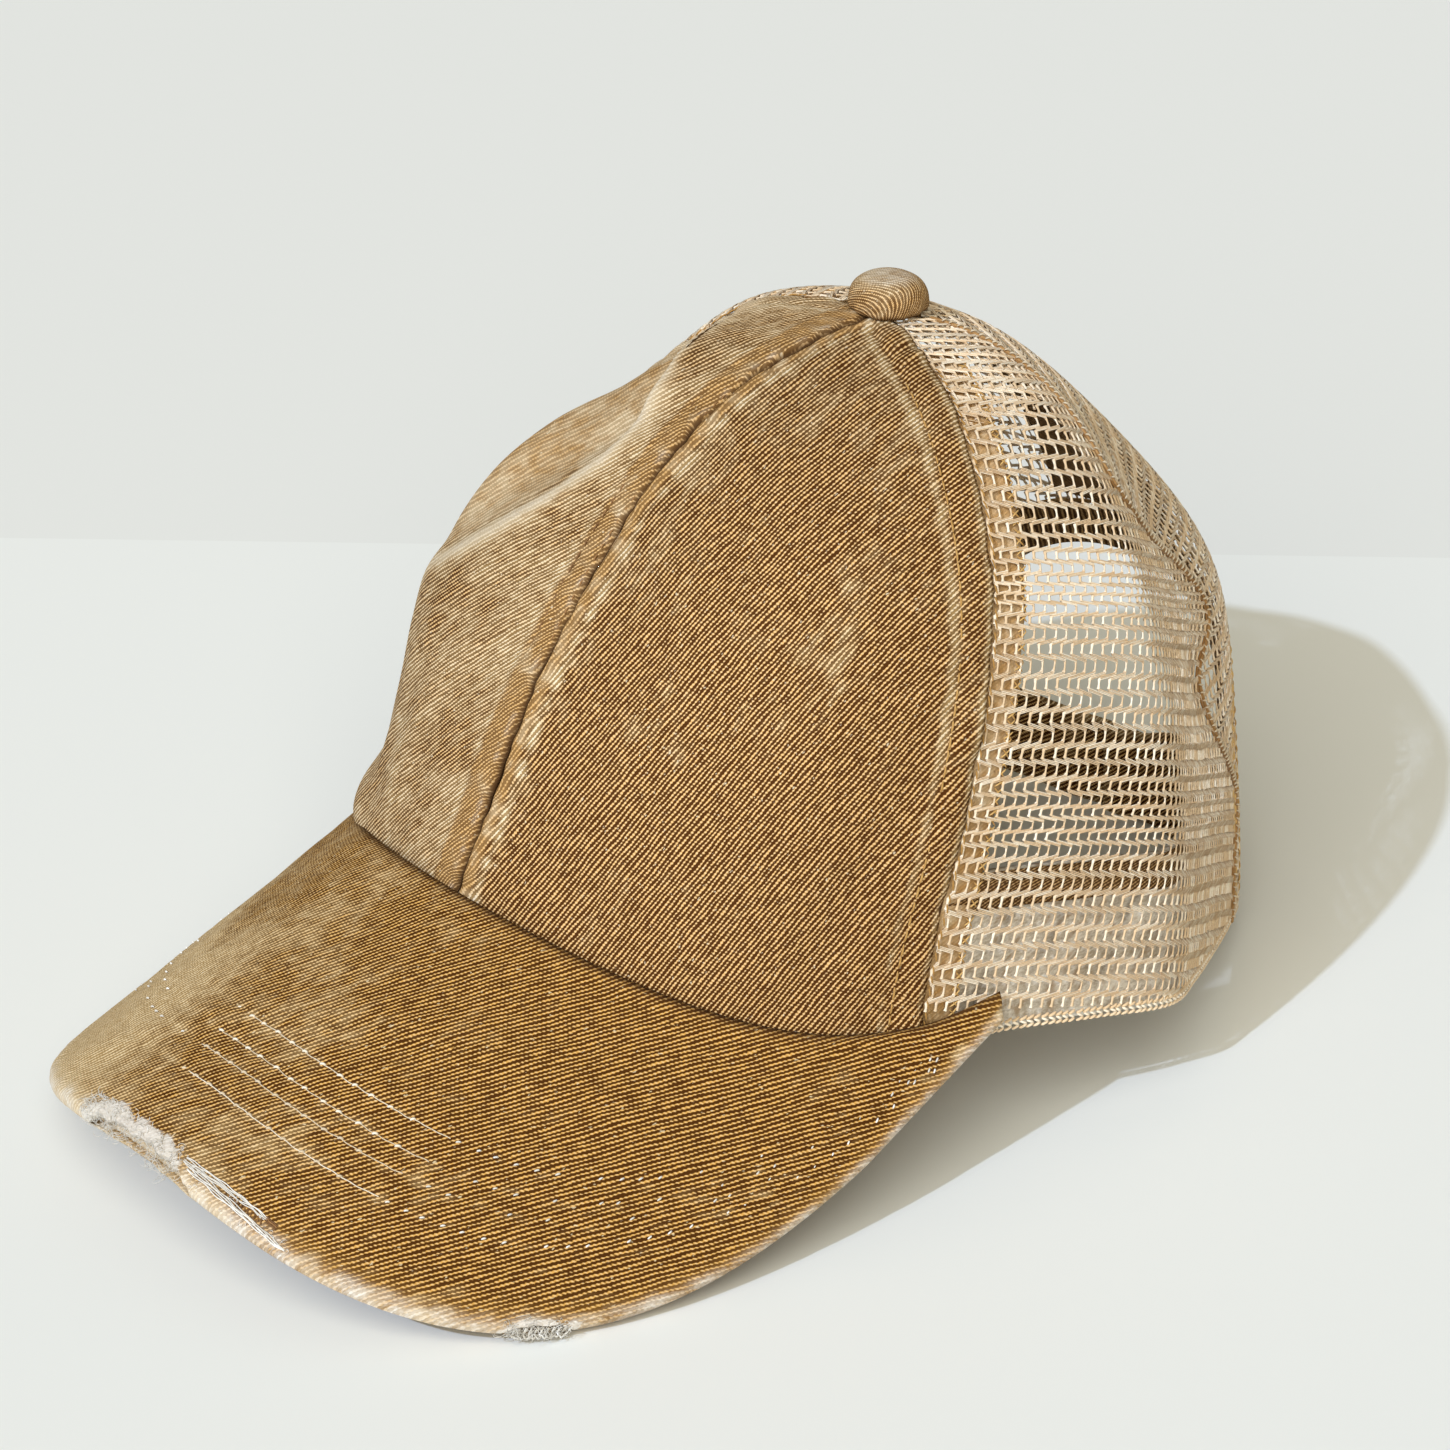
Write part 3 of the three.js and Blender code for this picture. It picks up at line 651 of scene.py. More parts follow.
def ripple(along, seed, length):
    """A gentle uneven wave along a seam, from a few sines with mixed phases."""
    phases = np.random.default_rng(seed).uniform(0, 2 * math.pi, 4)
    waves = [np.sin(2 * math.pi * along / (length * stretch) + phase)
             for stretch, phase in zip((1.0, 1.47, 0.71, 2.3), phases)]
    return sum(waves) / 4


def rumple(width, up, seed):
    """Soft uneven waves of a washed cloth, a few tenths of a millimetre high."""
    return 0.55 * ripple(up + 0.5 * width, seed, 34) + 0.45 * ripple(width - 0.3 * up, seed + 1, 21)


def grid_distance(points, axis):
    """Length along a grid's lines, in millimetres, from the first line."""
    steps = np.linalg.norm(np.diff(points, axis=axis), axis=-1)
    return np.concatenate([np.zeros_like(steps.take([0], axis)), np.cumsum(steps, axis=axis)], axis=axis)

# %% [markdown]
# Each cloth piece carries its lengths across and along the ribs in an attribute named cloth. On the front
# panels and the visor a formula gives them, so that the ribs run evenly over dents and folds. On the other
# pieces they come from the piece's own grid.

# %% Cloth with a weave
# Ribs climb across each panel. A share is how far the ribs' count grows over 50 mm each way, in millimetres
# of cloth, and the squares bend the ribs a little, since cloth that was cut flat lies on a round crown.
# The shares belong to x, y, z, z squared, x times z, x squared and x times y, from a point near the middle.
WEAVE_LEFT = (-34.0, -10.9, 26.6, -1.2, -0.8, -5.7, 0.0)
WEAVE_RIGHT = (-43.4, -7.6, 45.3, 4.0, 5.9, -2.6, 0.0)
WEAVE_VISOR = (-42.0, 24.6, 0.0, 0.0, 0.0, -9.0, -2.5)
WEAVE_UNIT = 50
WEAVE_BACK = 2
WEAVE_MIDDLE = 1.2
ALONG_SHARE = 35
ALONG_TURN = math.radians(50)


def flat_weave(points, weave, pull=0.0):
    """Lengths across and along the ribs of a panel, with a pull that shifts the ribs."""
    x, y, z = np.moveaxis(points - (AXIS_X, AXIS_Y, 0), -1, 0) / WEAVE_UNIT
    around, high = y + WEAVE_BACK, z - WEAVE_MIDDLE
    terms = (x, y, z, high ** 2, x * high, x ** 2, x * around)
    across = sum(share * term for share, term in zip(weave, terms))
    along = ALONG_SHARE * (x * math.cos(ALONG_TURN) + y * math.sin(ALONG_TURN) + z)
    return np.stack([across + pull, along, 0 * x], axis=-1)


def cloth_lengths(across, up, rib_angle):
    """Lengths across and along the ribs, from lengths on the cloth and the angle at which the ribs rise."""
    turn = math.radians(rib_angle)
    return np.stack([up * math.cos(turn) - across * math.sin(turn),
                     across * math.cos(turn) + up * math.sin(turn), 0 * across * up], axis=-1)


def cloth_piece(name, outer, inner, material, cloth, wear=0.0, shade=0.0, plain=0.0, bare=0.0,
                inside=0.0, **keys):
    """A closed shell of cloth from its outer and inner grids, with the lengths and the wear of its weave.
    inside paints shade on the inner face and quietens its ribs."""
    columns, rows = outer.shape[0] - 1, outer.shape[1] - 1
    values = {key: np.tile(np.broadcast_to(data, outer.shape[:2]).reshape(-1), 2)
              for key, data in (("wear", wear), ("shade", shade), ("plain", plain), ("bare", bare))}
    if inside:
        half = outer.shape[0] * outer.shape[1]
        for key, data in (("wear", 0.0), ("shade", inside), ("plain", 0.8), ("bare", 0.0)):
            values[key][half:] = data
    cloth = np.broadcast_to(cloth, outer.shape).reshape(-1, 3)
    points = np.concatenate([outer.reshape(-1, 3), inner.reshape(-1, 3)])
    return new_piece(name, points, shell_faces(columns, rows), material, values=values,
                     vectors={"cloth": np.concatenate([cloth, cloth])}, **keys)

# %% [markdown]
# The front panels need a grid that follows the seams on both sides. Its columns crowd towards the centre
# seam, where the cloth is puckered, and each point knows how far it is from the centre seam, from the side
# seam and from the rim. A left panel runs from the centre seam outwards and a right panel runs towards it.

# %% The grid of a front panel
PANEL_COLUMNS, PANEL_ROWS = 122, 152
LEVEL_NEAR_APEX = 0.97
ROW_CROWDING = 1.25
COLUMN_CROWDING = 1.35


def panel_grid(start_seam, end_seam, centre_at_start):
    """Places, face directions and distances from the seams of a panel's points."""
    share = np.linspace(0, 1, PANEL_COLUMNS + 1)[:, None]
    near_top = (seam_angle(start_seam, LEVEL_NEAR_APEX) + seam_angle(end_seam, LEVEL_NEAR_APEX)) / 2
    climb = 1 - (1 - np.linspace(0, 1, PANEL_ROWS + 1)) ** ROW_CROWDING
    level = climb[None, :] * level_at_radius(near_top, APEX_HOLE)
    start, end = seam_angle(start_seam, level), seam_angle(end_seam, level)
    whole = grid_distance(crown(start + (end - start) * share, level), 0)[-1:, :]
    crowd = share ** COLUMN_CROWDING if centre_at_start else 1 - (1 - share) ** COLUMN_CROWDING
    gap = SEAM_GAP / 2 / np.maximum(whole, 3)
    angle = start + (end - start) * (gap + crowd * (1 - 2 * gap))
    level = np.broadcast_to(level, angle.shape)
    base = crown(angle, level)
    width = grid_distance(base, 0)
    rest = width[-1:, :] - width
    return SimpleNamespace(
        angle=angle, level=level, base=base, normal=crown_normal(angle, level), width=width,
        up=grid_distance(base, 1), from_centre=width if centre_at_start else rest,
        from_side=rest if centre_at_start else width)

# %% [markdown]
# The two panels meet in a seam that isn't the same on both sides. On the wearer's left the cloth puckers
# and rubs pale a little away from the seam. On the right it is folded under into a flat welt. Each of the
# next functions gives four things: the relief in millimetres, how plain, how worn and how bare the cloth is.

# %% The centre seam and the ridge
def left_of_centre(grid, gathers, mottle):
    away_by = grid.from_centre
    relief = bells(away_by, (0.2, 1.9, 1.2))
    plain = 0.45 * (1 - smooth_step(away_by, 2.6, 3.8))
    wear = 0.45 * mottle * bell(away_by - 1.8, 1.0) + (0.2 + 0.8 * mottle) * bell(away_by - 4.6, 1.2)
    wear += bells(away_by, (0.12, 8, 4)) - 0.22 * (1 - smooth_step(grid.level, 0.05, 0.55))
    return relief, plain, wear, 0.20 * mottle * bell(away_by - 4.5, 0.9)


def right_of_centre(grid, gathers, mottle):
    away_by = grid.from_centre
    welt = 1 / (1 + np.exp((away_by - WELT_WIDTH) / 0.3))
    relief = 0.38 * welt * (1 - bell(away_by, 0.5)) - bells(away_by, (0.25, WELT_WIDTH - 0.9, 0.5))
    wear = 0.40 * (1 - welt) + 0.35 * mottle * bell(away_by - WELT_WIDTH - 0.9, 0.9)
    wear += 0.5 * np.clip(gathers, 0, 1) * bell(away_by - 2, 2.5)
    return relief, 0.30 * welt, wear, 0.3 * mottle * bell(away_by - 1.2, 0.9)


def ridge_wear(grid, plain, wear, bare):
    """The cloth is palest on the ridge and at the temple, and smoother beyond the ridge."""
    level = grid.level
    past = np.interp(level, FINE_LEVELS, FINE_RIDGE["angle"]) - grid.angle
    strength = np.clip(np.interp(level, FINE_LEVELS, FINE_RIDGE["depth"]) / 4, 0, 1)
    crest = strength * bell(past + 0.5, 2.4 + 4 * smooth_step(level, 0.66, 0.8))
    beyond = strength * smooth_step(past, 1.5, 6)
    temple = (1 - smooth_step(level, 0.22, 0.42)) * smooth_step(-grid.angle, 30, 42)
    temple = temple * smooth_step(level, 0.02, 0.1)
    smoothed = np.maximum(0.7 * crest, np.maximum(0.55 * beyond, 0.5 * temple))
    return (np.maximum(plain, smoothed), wear + 0.75 * crest + 0.10 * beyond + 0.60 * temple,
            bare + 0.30 * crest)

# %% [markdown]
# Now a panel can be put together. The relief lifts its outer grid, the inner grid lies one wall deeper,
# and the wear, the shade and the bare places go with the points.

# %% Make the front panels
# The inner faces of the front panels get painted shade, since they lie in the shadow inside the cap
INNER_SHADE = 0.93
MOST_SHADE = 0.9
TURNING_WIDTH = 26


def front_panel(name, start_seam, end_seam, centre_at_start, weave):
    """A twill panel between two seams; its centre seam is at the first or the last column."""
    grid = panel_grid(start_seam, end_seam, centre_at_start)
    width, up, from_centre, from_side = grid.width, grid.up, grid.from_centre, grid.from_side
    crevice = bell(from_centre, 0.42) * (0.8 + 0.5 * ripple(up, 2, 5.3))
    gathers = ripple(up - 0.45 * from_centre, 3, 7.6)
    pucker = 0.38 * gathers * np.exp(-from_centre / 8) * (1 - bell(up, 6))
    mottle = np.clip(0.5 + 1.3 * ripple(up, 8, 6.1), 0, 1)
    beside_centre = left_of_centre if centre_at_start else right_of_centre
    seam_relief, plain, wear, bare = beside_centre(grid, gathers, mottle)
    rumpled = rumple(width, up, 14 if centre_at_start else 16) * smooth_step(up, 0, 12)
    side_pull = ripple(up + 0.3 * from_side, 5, 9) * np.exp(-from_side / 6)
    relief = pucker - 0.7 * crevice + rumpled + seam_relief + 0.7 * side_pull
    relief += bells(from_side, (-0.25, TOPSTITCH_INSET, 0.7), (0.25, 3.2, 2.4), (-0.35, 0, 0.6))
    wear = wear + bells(from_side, (0.7, 0.8, 0.9), (0.6, TOPSTITCH_INSET + 1.6, 1.2))
    plain, wear, bare = ridge_wear(grid, plain, wear, bare)
    streaks = np.clip(ripple(0.35 * up + width, 11, 15), 0, 1)
    streaks = streaks * np.clip(0.6 + ripple(up + 0.2 * width, 12, 40), 0, 1)
    wear = wear + 0.35 * streaks + bells(up, (0.5, 0, 2.0))
    # Painted shade darkens the centre seam's crevice, the side seam's edge and the rim
    shade = 0.9 * bell(from_centre, 0.38) + 0.35 * bell(from_side, 0.5) + 0.25 * bell(up, 1.5)
    pull = 1.6 * gathers * np.exp(-from_centre / 2.6)
    if not centre_at_start:
        # Past the ridge the ribs would run level with the cloth's slope, so they are turned a little there
        past = np.clip(TURNING_WIDTH - from_side, 0, TURNING_WIDTH)
        pull = pull + 0.75 * past ** 2 / (past + 8)
    outer = grid.base + grid.normal * relief[..., None]
    inner = grid.base - grid.normal * CLOTH_WALL
    cloth_piece(name + "_cloth", outer, inner, golden_twill, flat_weave(grid.base, weave, pull), wear,
                np.clip(shade, 0, MOST_SHADE), plain, bare, INNER_SHADE, nodes=(name,), slot="twill")


front_panel("front_panel_left", "centre", "front_left", True, WEAVE_LEFT)
front_panel("front_panel_right", "front_right", "centre", False, WEAVE_RIGHT)

# %% [markdown]
# ## Seam lines and stitches
# Every row of stitches follows a seam at some distance from it. So a seam line is a row of points on the
# crown with the direction that the face looks in at each, and a stitch is a short tube that rises out of
# the cloth and dips back into it. Real stitches are a little uneven, so their lengths and places vary,
# with a seeded random generator that gives the same stitches each time.

# %% Seam lines and stitches
STITCH_POINTS = 6
STITCH_SIDES = 5
UNSTITCHED_END = 1.0


def level_range(low, high, count=500):
    return np.linspace(low, high, count)


def crown_line(angle, level, depth=0.0):
    """Points and face directions along a line on the crown, moved inwards by a depth."""
    normal = crown_normal(angle, level)
    return crown(angle, level) - normal * np.asarray(depth)[..., None], normal


def beside_seam(seam, offset, level, depth=0.0):
    """A line at a distance beside a seam, positive towards the wearer's left."""
    angle = seam_angle(seam, level)
    per_degree = np.linalg.norm(crown(angle + 0.5, level) - crown(angle - 0.5, level), axis=-1)
    return crown_line(angle + offset / np.maximum(per_degree, 0.15), level, depth)


def resampled(line, length, at):
    """Points and face directions of a line at some lengths along it."""
    return [np.stack([np.interp(at, length, data[:, i]) for i in range(3)], axis=-1) for data in line]


def stitches(line, pitch, fill, radius, lift=0.35, slant=0.0, seed=1, keep=1.0):
    """Tubes for a row of stitches along a line; slant turns each one, and keep leaves a share of them."""
    chance = np.random.default_rng(seed)
    length = grid_distance(line[0], 0)
    starts = np.arange(UNSTITCHED_END, length[-1] - pitch - UNSTITCHED_END, pitch)
    starts = starts + chance.uniform(-0.12, 0.12, len(starts)) * pitch
    starts = starts[chance.uniform(size=len(starts)) < keep]
    reach = pitch * fill * chance.uniform(0.85, 1.1, len(starts))
    t = np.linspace(0, 1, STITCH_POINTS)
    place, normal = resampled(line, length, starts[:, None] + reach[:, None] * t)
    along = np.gradient(place, axis=1)
    along /= np.linalg.norm(along, axis=-1, keepdims=True) + 1e-9
    side = np.cross(normal, along)
    rise = lift * np.sin(math.pi * t) - 0.15
    path = place + normal * rise[None, :, None] + side * (slant * (t - 0.5))[None, :, None]
    return tubes(path, normal, radius, STITCH_SIDES, tip=0.5)


def plain_cord(line, radius, sides=6, aspect=1.0):
    points, normals = line
    return tubes(points[None], normals[None], radius, sides, aspect)

# %% [markdown]
# Threads have a simpler material: two colours, mixed by noise and by a tint that each row of tubes
# carries. A thread's own fibres would be too many to model, so changes of colour stand in for them. The
# first rows of stitches hold the seams of the front panels.

# %% Thread and yarn materials
FLECK_SCALE = 1500.0
SLOW_SCALE = 60.0


def make_yarn(name, dark, light, roughness=0.6):
    """Yarn whose colour varies from strand to strand and along each one."""
    material, tree, shader = new_material(name, roughness)
    shader.inputs["Sheen Weight"].default_value = 0.1
    place = Amount(node(tree, "ShaderNodeTexCoord").outputs["Object"])
    fleck = noise(place, FLECK_SCALE, 2.0, 0.6)
    slow = noise(place, SLOW_SCALE, 2.0, 0.5)
    amount = fleck * 0.5 + slow * 0.45 + attribute(tree, "tint") * 0.35
    color = amount.band(0.3, 0.95).mix((*dark, 1), (*light, 1))
    finish_material(tree, shader, color, fleck, 0.3, 0.05)
    return material


golden_thread = make_yarn("golden_thread", (0.40, 0.21, 0.05), (0.66, 0.42, 0.15))
brown_thread = make_yarn("brown_thread", (0.16, 0.07, 0.02), (0.36, 0.18, 0.06))
cream_thread = make_yarn("cream_thread", (0.62, 0.50, 0.34), (0.90, 0.82, 0.68))
bare_thread = make_yarn("bare_thread", (0.66, 0.62, 0.55), (0.93, 0.91, 0.87), roughness=0.8)
net_yarn = make_yarn("net_yarn", (0.73, 0.53, 0.32), (0.98, 0.87, 0.70))
net_yarn_golden = make_yarn("golden_net_yarn", (0.60, 0.39, 0.16), (0.90, 0.72, 0.45), roughness=0.5)
seam_thread = make_yarn("seam_thread", (0.30, 0.15, 0.045), (0.60, 0.38, 0.16))


# %% Stitches on the front panels
TINT_SEED = 1


def yarn_piece(name, parts, material, slot):
    """One piece from several sets of tubes, each with its own tint."""
    points, faces, member = join(parts)
    tint = np.random.default_rng(TINT_SEED).uniform(-1, 1, 1 + int(member.max()))[member]
    return new_piece(name, points, faces, material, slot=slot, values={"tint": tint})


centre_levels = level_range(0.01, 0.93)
side_levels = level_range(0.01, 0.90)
yarn_piece("centre_topstitch", [
    stitches(beside_seam("centre", -WELT_WIDTH + 0.9, centre_levels), 2.9, 0.72, 0.15, 0.12, seed=21),
    stitches(beside_seam("centre", -0.9, centre_levels), 2.6, 0.50, 0.15, 0.20, seed=22),
], brown_thread, "twill")
yarn_piece("side_topstitch", [
    stitches(beside_seam("front_left", -TOPSTITCH_INSET, side_levels), 2.7, 0.80, 0.21, 0.22, seed=23),
    stitches(beside_seam("front_right", TOPSTITCH_INSET, side_levels), 2.7, 0.80, 0.21, 0.22, seed=24),
], golden_thread, "twill")

# %% [markdown]
# ## The net
# The sides and back are warp-knitted net. Upright pillars of yarn shift half a step at every course, and
# between the courses thin yarns run slantwise over one and a half pillars, so rows of rounded holes lie
# between bands of fine parallel lines. An image of net would look flat close up, and a see-through
# material would lose the shadows, so each yarn is a real tube. The net is laid out flat in millimetres,
# and tables turn each place on the flat net into a place on the crown.

# %% Tables from the flat net to the crown
NET_ROWS, NET_COLUMNS, NET_STEPS = 200, 96, 260


def net_table(start_seam, end_seam, origin, lean=(0.0, 0.0)):
    """Tables for one net panel. Lengths across are measured from its first seam (origin 0) or last (1).
    Its courses lie in planes that lean: each is as high as z plus lean times the place."""
    near_top = (seam_angle(start_seam, LEVEL_NEAR_APEX) + seam_angle(end_seam, LEVEL_NEAR_APEX)) / 2
    levels = np.linspace(0, float(level_at_radius(near_top, APEX_HOLE)), NET_ROWS + 1)
    start, end = seam_angle(start_seam, levels), seam_angle(end_seam, levels)
    share = np.linspace(0, 1, NET_COLUMNS + 1)
    points = crown(start[:, None] + (end - start)[:, None] * share, levels[:, None])
    plane = points[..., 2] + points[..., 0] * lean[0] + points[..., 1] * lean[1]
    plane = np.maximum.accumulate(plane + 1e-6 * np.arange(NET_ROWS + 1)[:, None], axis=0)
    middle = NET_COLUMNS // 2
    level_at = np.stack([np.interp(plane[:, middle], plane[:, i], levels, left=-0.05)
                         for i in range(NET_COLUMNS + 1)], axis=1)
    seat = np.maximum(level_at, 0)
    start, end = seam_angle(start_seam, seat), seam_angle(end_seam, seat)
    angle_at = start + (end - start) * share
    across = grid_distance(crown(angle_at, seat), 1)
    across = across - origin * across[:, -1:]
    reach = np.linspace(across.min(), across.max(), NET_STEPS + 1)
    spread = [np.stack([np.interp(reach, row, values) for row, values in zip(across, grid)])
              for grid in (angle_at, level_at)]
    return SimpleNamespace(up=grid_distance(points[:, middle], 0), reach=reach, angle_at=spread[0],
                           level_at=spread[1], low=across[:, 0], high=across[:, -1])


def on_crown(table, across, up):
    """Angle and level on the crown of places on the flat net; below the rim the level is less than 0."""
    row = np.interp(up, table.up, np.arange(len(table.up)))
    j = np.clip(row.astype(int), 0, len(table.up) - 2)
    f = row - j
    column = (across - table.reach[0]) / (table.reach[1] - table.reach[0])
    column = np.clip(column, 0, len(table.reach) - 1.001)
    i = column.astype(int)
    g = column - i

    def read(grid):
        low = grid[j, i] * (1 - f) * (1 - g) + grid[j, i + 1] * (1 - f) * g
        return low + grid[j + 1, i] * f * (1 - g) + grid[j + 1, i + 1] * f * g

    return read(table.angle_at), read(table.level_at)

# %% [markdown]
# On the flat net a pillar goes up round one side of a hole and crosses to the next course, half a step
# to the side. The slanting yarns join each pillar to its neighbour. Seeded random shifts of about a tenth
# of a millimetre keep it from looking printed, and slow waves let the courses wander.

# %% Yarns of the flat net
COLUMN_PITCH = 2.25
ROW_PITCH = 3.2
HOLE_HEIGHT = 1.78
STAGGER = 0.45
HOLE_SHARES = (0, 0.25, 0.5, 0.75, 1)
CROSSING_SHARES = (0.5, 1)
SLANT_SHARES = (0, 0.5, 1)
SLANT_RISES = ((-0.05, -0.50), (0.22, -0.22), (0.50, 0.05))
THICK_COURSE, THIN_COURSE = 1.15, 0.85
UNUSED_COLUMNS = 2


def steps_between(first, last, shares):
    return [first + (last - first) * t for t in shares]


def flat_net(table, phase, seed):
    """Paths of the pillars, how thick each is and the paths of the slanting yarns, on the flat net."""
    chance = np.random.default_rng(seed)
    first = math.floor(table.low.min() / COLUMN_PITCH) - 3
    k = np.arange(first, math.ceil(table.high.max() / COLUMN_PITCH) + 4)
    rows = np.arange(int(table.up[-1] / ROW_PITCH) + 2)
    base = np.stack(np.broadcast_arrays((k[:, None] + STAGGER * (rows % 2) + phase) * COLUMN_PITCH,
                                        rows * ROW_PITCH - phase * ROW_PITCH), axis=-1)
    base = base + chance.normal(0, 0.07, base.shape)
    top = base + (0, HOLE_HEIGHT) + chance.normal(0, 0.06, base.shape)
    slow = np.stack([0.4 * np.sin(base[..., 1] / 9 + base[..., 0] / 31),
                     0.25 * np.sin(base[..., 0] / 13)], axis=-1)
    base, top = base + slow, top + slow
    a, b, c = base[:, :-1], top[:, :-1], base[:, 1:]
    pillar = np.stack(steps_between(a, b, HOLE_SHARES) + steps_between(b, c, CROSSING_SHARES), axis=2)
    is_even = rows[:-1] % 2 == 0
    goal = np.where(is_even[None, :, None], np.roll(c, -1, axis=0), np.roll(c, 1, axis=0))
    inner = slice(UNUSED_COLUMNS, -UNUSED_COLUMNS)
    slants = [np.stack(steps_between(b + (0, rise_from), goal + (0, rise_to), SLANT_SHARES), axis=2)[inner]
              for rise_from, rise_to in SLANT_RISES]
    thick = np.where(is_even, THICK_COURSE, THIN_COURSE)
    thick = np.broadcast_to(thick[None, :], pillar.shape[:2])[inner]
    return (pillar[inner].reshape(-1, pillar.shape[2], 2), thick.reshape(-1, 1),
            np.concatenate([s.reshape(-1, len(SLANT_SHARES), 2) for s in slants]))

# %% [markdown]
# Each flat path is then looked up in the panel's tables and laid on the crown as a tube. That keeps the
# holes the same size all over the curved panel. The pillars are thick and lie deeper, and the slanting
# yarns are thin and lie over them.

# %% Yarns on the crown
NET_MARGIN = 0.35
LOWEST_LEVEL = 0.002
PILLAR_RADIUS = np.array([0.36, 0.26, 0.22, 0.26, 0.36, 0.16, 0.36])
PILLAR_DEPTH = np.array([0.55, 0.50, 0.48, 0.50, 0.55, 0.60, 0.55])
PILLAR_SIDES, PILLAR_ASPECT = 4, 0.8
SLANT_RADIUS, SLANT_DEPTH, SLANT_SIDES = 0.125, 0.30, 3


def laid_yarns(table, paths, radius, sides, depth, keep, aspect=1.0):
    """Tubes of the yarns that keep() accepts, trimmed at the seams and laid on the crown."""
    radius = np.broadcast_to(radius, paths.shape[:2])
    low = np.interp(paths[..., 1], table.up, table.low) + NET_MARGIN
    high = np.interp(paths[..., 1], table.up, table.high) - NET_MARGIN
    inside = ((paths[..., 0] > low) & (paths[..., 0] < high)).any(axis=1)
    inside &= (paths[:, :, 1].max(axis=1) < table.up[-1]) & ((high - low).min(axis=1) > 0)
    paths, low, high, radius = paths[inside], low[inside], high[inside], radius[inside]
    across = np.clip(paths[..., 0], low, high)
    up = np.maximum(paths[..., 1], 0.3)
    angle, level = on_crown(table, across, up)
    accepted = keep(angle, level, across, up) & (level.mean(axis=1) > LOWEST_LEVEL)
    angle, level, radius = angle[accepted], np.clip(level[accepted], LOWEST_LEVEL, 1), radius[accepted]
    place, normal = crown_line(angle, level, np.broadcast_to(depth, angle.shape))
    return tubes(place, normal, radius, sides, aspect, tip=1.0), len(place)


def net_parts(table, keep, phase=0.0, depth=0.0, seed=1):
    """Points, faces and tints of one layer of net: the pillars first and then the slanting yarns."""
    pillar, thick, slant = flat_net(table, phase, seed)
    pillars, pillar_count = laid_yarns(table, pillar, PILLAR_RADIUS * thick, PILLAR_SIDES,
                                       PILLAR_DEPTH + depth, keep, PILLAR_ASPECT)
    slants, slant_count = laid_yarns(table, slant, SLANT_RADIUS, SLANT_SIDES, SLANT_DEPTH + depth, keep)
    chance = np.random.default_rng(seed + 100)
    tint = [np.repeat(chance.uniform(-1, 1, pillar_count), pillar.shape[1] * PILLAR_SIDES),
            np.repeat(chance.uniform(-0.6, 1, slant_count), slant.shape[1] * SLANT_SIDES)]
    points, faces, _ = join([pillars, slants])
    return points, faces, np.concatenate(tint)


def net_piece(node_name, layers):
    points, faces, _ = join(layers)
    tint = np.concatenate([layer[2] for layer in layers])
    new_piece(node_name + "_yarns", points, faces, net_yarn, (node_name,), "net", values={"tint": tint})

# %% [markdown]
# A net panel is one layer of yarns all over it, and more layers where the cloth lies double: along the
# seam to the rear panel, and near the apex, where the panels are gathered under the button.
# The courses of the side nets lean a little: they fall towards the rear and rise away from the head.

# %% Which yarns to keep
REAR_MM_PER_DEGREE = 1.29
ARCH_HALF_WIDTH = 50
ARCH_TOP = 64
ARCH_SQUARENESS = 2.5
ARCH_CLEARANCE = 0.8
ALLOWANCE = 7.0
GATHERED_LEVEL = 0.80


def everywhere(angle, level, across, up):
    return np.ones(len(angle), dtype=bool)


def above_arch(angle, level, across, up):
    """Keeps the yarns that are higher than the rear opening's edge."""
    middle = angle.mean(axis=1)
    rim = section("height", middle)
    distance = (180 - np.abs(wrapped(middle))) * REAR_MM_PER_DEGREE
    share = np.minimum(np.abs(distance) / ARCH_HALF_WIDTH, 1)
    edge = rim + (ARCH_TOP - rim) * (1 - share ** ARCH_SQUARENESS) ** (1 / ARCH_SQUARENESS)
    return crown(angle, level)[..., 2].mean(axis=1) > edge + ARCH_CLEARANCE


def near_apex(angle, level, across, up):
    return level.mean(axis=1) > GATHERED_LEVEL


def beside(table, edge):
    """Keeps the yarns of the turned-in edge, by their distance from the table's low or high seam."""
    return lambda angle, level, across, up: np.abs(
        across - np.interp(up, table.up, edge)).mean(axis=1) < ALLOWANCE


# %% Make the net
COURSE_LEAN = 0.51
COURSE_TURN = math.radians(50)
DOUBLED = {"phase": 0.3, "depth": 0.75}
GATHERED = {"phase": 0.45, "depth": 0.5}
lean_left = (-COURSE_LEAN * math.sin(COURSE_TURN), COURSE_LEAN * math.cos(COURSE_TURN))
lean_right = (-lean_left[0], lean_left[1])
side_left = net_table("front_left", "rear_left", 0, lean_left)
side_right = net_table("rear_right", "front_right", 1, lean_right)
rear_left = net_table("rear_left", "rear_centre", 1)
rear_right = net_table("rear_centre_back", "rear_right", 0)
net_piece("side_mesh_left", [
    net_parts(side_left, everywhere, seed=31),
    net_parts(side_left, beside(side_left, side_left.high), seed=32, **DOUBLED),
    net_parts(side_left, near_apex, seed=37, **GATHERED),
])
net_piece("side_mesh_right", [
    net_parts(side_right, everywhere, seed=33),
    net_parts(side_right, beside(side_right, side_right.low), seed=34, **DOUBLED),
])
net_piece("rear_mesh_left", [
    net_parts(rear_left, above_arch, seed=35),
    net_parts(rear_left, near_apex, seed=38, **GATHERED),
])
net_piece("rear_mesh_right", [net_parts(rear_right, above_arch, seed=36)])

# %% [markdown]
# ## Seams of the net
# The twill panel's edge is turned in under the net, so a strip of warm cloth shows through it there. The
# side and rear nets meet in a rolled seam of brown thread, whipped with small pale loops. The net's bottom
# edge is turned up and bound by a few tight rows. The strips are thin shells, so light stops at them as it
# does at real cloth.

# %% Turned-in strips
STRIP_STEPS, STRIP_COLUMNS = 121, 9
STRIP_LENGTH = 140
STRIP_DEPTH, STRIP_WALL = 1.35, 0.7


